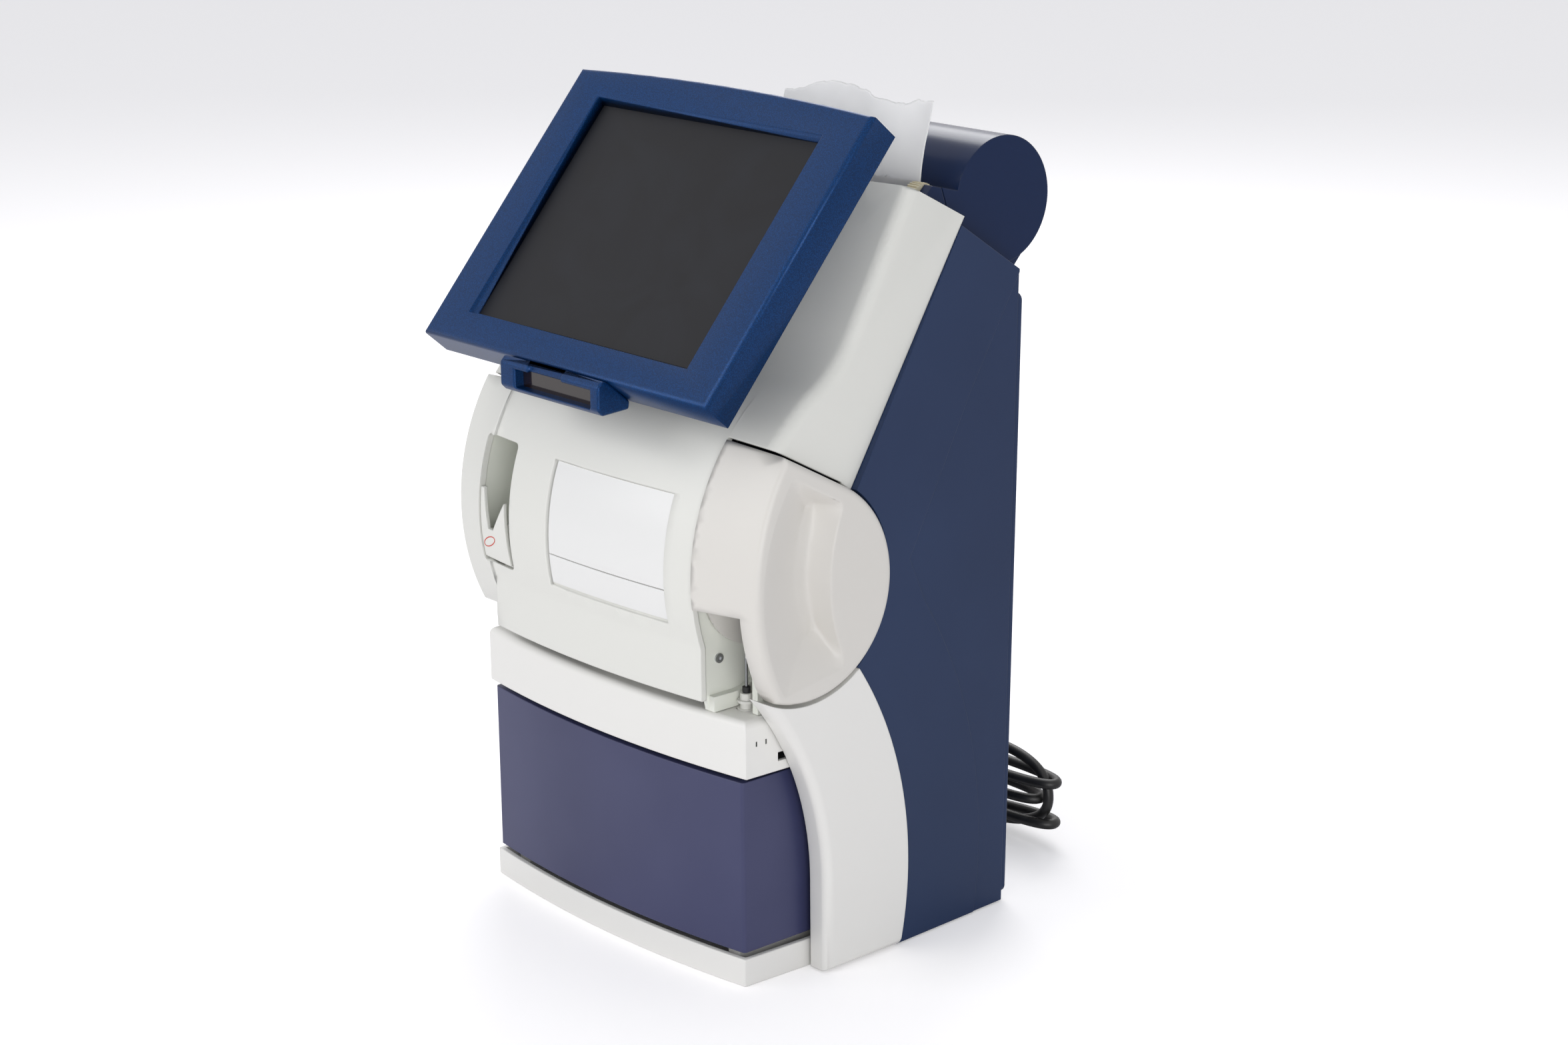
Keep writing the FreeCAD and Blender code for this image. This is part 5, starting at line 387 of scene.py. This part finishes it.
# The display's bezel is die-cast and painted a satin metallic blue, with fine aluminium flakes under the
# lacquer and softly broken edges. Its back and the barcode reader under it are the same colour.
bezel_blue = material("metallic lacquer, blue", "#0b3a6e", 0.36, Metallic=0.45, Specular_IOR_Level=0.3,
                      Coat_Weight=0.03, Coat_Roughness=0.3)
bezel_place = add(bezel_blue, "TexCoord")
flakes = add(bezel_blue, "TexVoronoi", Vector=(bezel_place, "Object"), Scale=1800.0)
shade_between(bezel_blue, flakes, "Distance", "#084788", "#042d58", 0.0, 0.55)
bezel_edge = add(bezel_blue, "Bevel", {"samples": edge_samples}, Radius=1.2 * mm)
bezel_peel = add(bezel_blue, "TexNoise", Vector=(bezel_place, "Object"), Scale=600.0, Detail=2.0)
bezel_bump = add(bezel_blue, "Bump", Strength=0.15, Distance=0.05 * mm, Height=(bezel_peel, "Fac"),
                 Normal=(bezel_edge, "Normal"))
feed(bezel_blue, "Normal", bezel_bump, "Normal")
soft_copy("display_bezel", "display_frame", "display", bezel_blue, "bezel_blue", sharp_deg=62)
soft_copy("display_back", "display_rear_shell", "display", bezel_blue, "bezel_blue", 0.8)
soft_copy("reader_housing", "reader_shell", "display", bezel_blue, "bezel_blue", 1.3, 3)
dress("lcd_module", moulded_black)
for name in ("display_knuckle", "hinge_bracket"):
    dress(name, screw_steel)

# The glass over the panel has an anti-glare finish: it is nearly black, with a soft grey sheen and
# light smears. The barcode reader looks out through a dark amber window.
screen_dark = material("anti-glare glass over a dark panel", "#121318", 0.42, Specular_IOR_Level=0.25)
screen_place = add(screen_dark, "TexCoord")
smear = add(screen_dark, "TexNoise", Vector=(screen_place, "Object"), Scale=18.0, Detail=6.0, Distortion=1.5)
shade_between(screen_dark, smear, "Fac", "#101116", "#181a20", 0.4, 0.75)
film = add(screen_dark, "MapRange", Value=(smear, "Fac"), To_Min=0.34, To_Max=0.52)
feed(screen_dark, "Roughness", film, "Result")
dress("touch_glass", screen_dark)
amber_window = material("tinted acrylic, dark amber", "#1d110b", 0.10, Coat_Weight=0.5, Coat_Roughness=0.08)
dress("reader_window", amber_window)

# The printer's lid is a glossy navy moulding: half a drum over the roll, with flat ends and a low wing in
# front. The cap in front of the slit matches it, and a cream wheel feeds the paper by hand.
lid_navy = moulded(material("moulded ABS, glossy navy", "#102448", 0.24, Specular_IOR_Level=0.25),
                   1.0, 0.02, 0.8)
soft_copy("printer_lid", "printer_lid_shell", "lid", lid_navy, "lid_navy", 0.5)
soft_copy("printer_bezel", "printer_cap", "chassis", lid_navy, "lid_navy", 0.3)
wheel_cream = moulded(material("moulded acetal, cream", "#e2d9bd", 0.4), 0.8, 0.03, 0.3)
dress("feed_wheel", wheel_cream)
for name in ("printer_tray", "printer_mechanism"):
    dress(name, bay_grey)
roller_black = moulded(material("silicone rubber, black", "#1a1a1b", 0.65), 0.8, 0.05, 0.4)
dress("platen_roller", roller_black)

# The thermal paper is thin, matt and a little translucent. Its free end is torn off unevenly and leans
# back towards the lid in soft waves.
paper_white = material("thermal paper, white", "#f7f6f5", 0.7, Subsurface_Weight=0.35,
                       Subsurface_Radius=(0.002,) * 3)
paper_place = add(paper_white, "TexCoord")
fibre = add(paper_white, "TexNoise", Vector=(paper_place, "Object"), Scale=700.0, Detail=3.0)
fibre_bump = add(paper_white, "Bump", Strength=0.25, Distance=0.06 * mm, Height=(fibre, "Fac"))
feed(paper_white, "Normal", fibre_bump, "Normal")
dress("paper_roll", paper_white)
# In millimetres: where the strip starts and how wide it is, the plane that it stands in up to the bezel's
# slit, how far it leans back above that, and the mean height of its torn edge.
paper_left, paper_width, paper_low, paper_high = -25.3, 111.0, 380.0, 432.5
slit_y, slit_z, lean_height, lean_depth, lean_power = 42.05, 393.5, 40.5, 11.0, 1.35
wave_foot, wave_height = 396.0, 38.0
paper_thick = 0.12
paper_columns, paper_rows = 74, 40
# The torn edge and the folds are each a long wave, as height, pitch and start, with noise on top, as height,
# pitches and place. The edge falls off towards the left.
tear_wave, tear_noise = (1.6, 0.075, 0.4), ((0.9, 0.12, 7.7), (0.5, 0.6, 1.3))
tear_gain, tear_fall = 1.6, 0.05
fold_wave, fold_noise = (1.9, 0.11, 0.6), ((2.4, 0.05, 0.03, 2.0), (0.7, 0.14, 0.11, 5.0))


def swell(x, height, pitch, start):
    """A long wave along the strip."""
    return height * math.sin(x * pitch + start)


strip = bmesh.new()
bmesh.ops.create_grid(strip, x_segments=paper_columns, y_segments=paper_rows, size=0.5)
for vert in strip.verts:
    across, rise_share = vert.co.x + 0.5, vert.co.y + 0.5
    x = paper_left + paper_width * across
    torn = swell(x, *tear_wave) - tear_fall * max(0.0, -x)
    for height, pitch, place in tear_noise:
        torn += height * noise.noise(Vector((x * pitch, place, 0)))
    z = paper_low + (paper_high + tear_gain * torn - paper_low) * rise_share
    y = slit_y
    if z >= slit_z:
        y += lean_depth * ((z - slit_z) / lean_height) ** lean_power
    wave = max(0.0, (z - wave_foot) / wave_height)
    y += wave * swell(x, *fold_wave)
    for height, pitch_x, pitch_z, place in fold_noise:
        y += wave * height * noise.noise(Vector((x * pitch_x, z * pitch_z, place)))
    vert.co = Vector((x, y, z)) * mm
bmesh.ops.solidify(strip, geom=strip.faces[:], thickness=paper_thick * mm)
bmesh.ops.recalc_face_normals(strip, faces=strip.faces)
strip_mesh = bpy.data.meshes.new("paper_strip")
strip.to_mesh(strip_mesh)
strip_mesh.shade_smooth()
new_piece("paper_strip", strip_mesh, "chassis", paper_white, "paper", "paper_tail")

# Inside the case: the frame and the supply are of zinc-plated sheet with its spangle, and the board has a
# green mask. The fan and the pump's rotor are black nylon, and the cassette is white.
frame_zinc = material("zinc-plated steel sheet", "#a3a7aa", 0.38, Metallic=0.9)
zinc_place = add(frame_zinc, "TexCoord")
spangle = add(frame_zinc, "TexVoronoi", Vector=(zinc_place, "Object"), Scale=160.0)
shade_between(frame_zinc, spangle, "Color", "#979b9f", "#b3b7ba", 0.2, 0.8)
for name in ("chassis_frame", "power_supply"):
    dress(name, frame_zinc)
mask_green = material("solder mask, green", "#1c5236", 0.35)
mask_place = add(mask_green, "TexCoord")
tracks = add(mask_green, "TexNoise", Vector=(mask_place, "Object"), Scale=220.0, Detail=1.0)
shade_between(mask_green, tracks, "Fac", "#1a4c32", "#23613f", 0.45, 0.55)
dress("main_board", mask_green)
for name in ("fan_frame", "fan_rotor", "pump_rotor"):
    dress(name, inlet_black)
for name in ("pump_housing", "pack_manifold", "pack_ports"):
    dress(name, bay_grey)
cassette_white = moulded(material("moulded ABS, cassette white", "#e6e6e0", 0.35), 0.9, 0.04, 0.6)
dress("sensor_cassette", cassette_white)

# The floor is a plain pale sheet. It keeps the analyzer's shadow, and glows a little for the camera alone,
# so that it fades into the pale background.
floor_half, floor_gleam = 6.0, 0.34
floor_pale = material("matt pale paper", "#f2f0f1", 0.8)
floor_light = add(floor_pale, "LightPath")
floor_glow = add(floor_pale, "Math", {"operation": "MULTIPLY"}, _0=(floor_light, "Is Camera Ray"),
                 _1=floor_gleam)
floor_pale.node_tree.nodes["Principled BSDF"].inputs["Emission Color"].default_value = (1, 1, 1, 1)
feed(floor_pale, "Emission Strength", floor_glow, "Value")
ground = bmesh.new()
bmesh.ops.create_grid(ground, x_segments=1, y_segments=1, size=floor_half)
ground_mesh = bpy.data.meshes.new("floor")
ground.to_mesh(ground_mesh)
ground_mesh.materials.append(floor_pale)
floor = bpy.data.objects.new("floor", ground_mesh)
scene.collection.objects.link(floor)

# Four soft boxes, each with its place, its width in metres and its power in watts: one over the front left,
# a lower one at the right, a weak one above and one behind on the left.
lamps = (
    ("key_light", (-0.9, -1.9, 1.15), 1.5, 17.5), ("fill_light", (1.6, -1.0, 0.3), 1.0, 14.0),
    ("top_light", (-0.2, 0.3, 2.4), 1.4, 8.0), ("rear_light", (-1.1, 1.2, 1.5), 1.1, 14.0),
)
lamp_aim = Vector((0, 0, 0.2))
for name, place, size, power in lamps:
    lamp = bpy.data.lights.new(name, "AREA")
    lamp.shape = "SQUARE"
    lamp.size, lamp.energy = size, power
    holder = bpy.data.objects.new(name, lamp)
    scene.collection.objects.link(holder)
    holder.location = place
    holder.rotation_euler = (lamp_aim - Vector(place)).to_track_quat("-Z", "Y").to_euler()

# The room gives an even, slightly cool light. What the camera sees of it, directly, mirrored or through
# clear plastic, is a plain pale background.
room_tint, room_strength = (0.93, 0.95, 1.0, 1), 0.48
room = bpy.data.worlds.new("room")
scene.world = room
room.use_nodes = True
room_tree = room.node_tree
room_tree.nodes.clear()


def room_node(kind, **settings):
    """Adds a node to the room's tree."""
    node = room_tree.nodes.new("ShaderNode" + kind)
    for key, value in settings.items():
        setattr(node, key, value)
    return node


def backdrop(colour, strength):
    """A background of one colour and strength."""
    node = room_node("Background")
    node.inputs["Color"].default_value, node.inputs["Strength"].default_value = colour, strength
    return node.outputs[0]


def either(one, other):
    """The larger of two ray flags."""
    node = room_node("Math", operation="MAXIMUM")
    room_tree.links.new(one, node.inputs[0])
    room_tree.links.new(other, node.inputs[1])
    return node.outputs[0]


rays = room_node("LightPath").outputs
mirrored = either(rays["Is Glossy Ray"], rays["Is Transmission Ray"])
blend = room_node("MixShader")
room_tree.links.new(either(rays["Is Camera Ray"], mirrored), blend.inputs["Fac"])
room_tree.links.new(backdrop(room_tint, room_strength), blend.inputs[1])
room_tree.links.new(backdrop(linear("#f1eff0"), 1.0), blend.inputs[2])
room_tree.links.new(blend.outputs[0], room_node("OutputWorld").inputs["Surface"])
scene.view_settings.view_transform = "Standard"
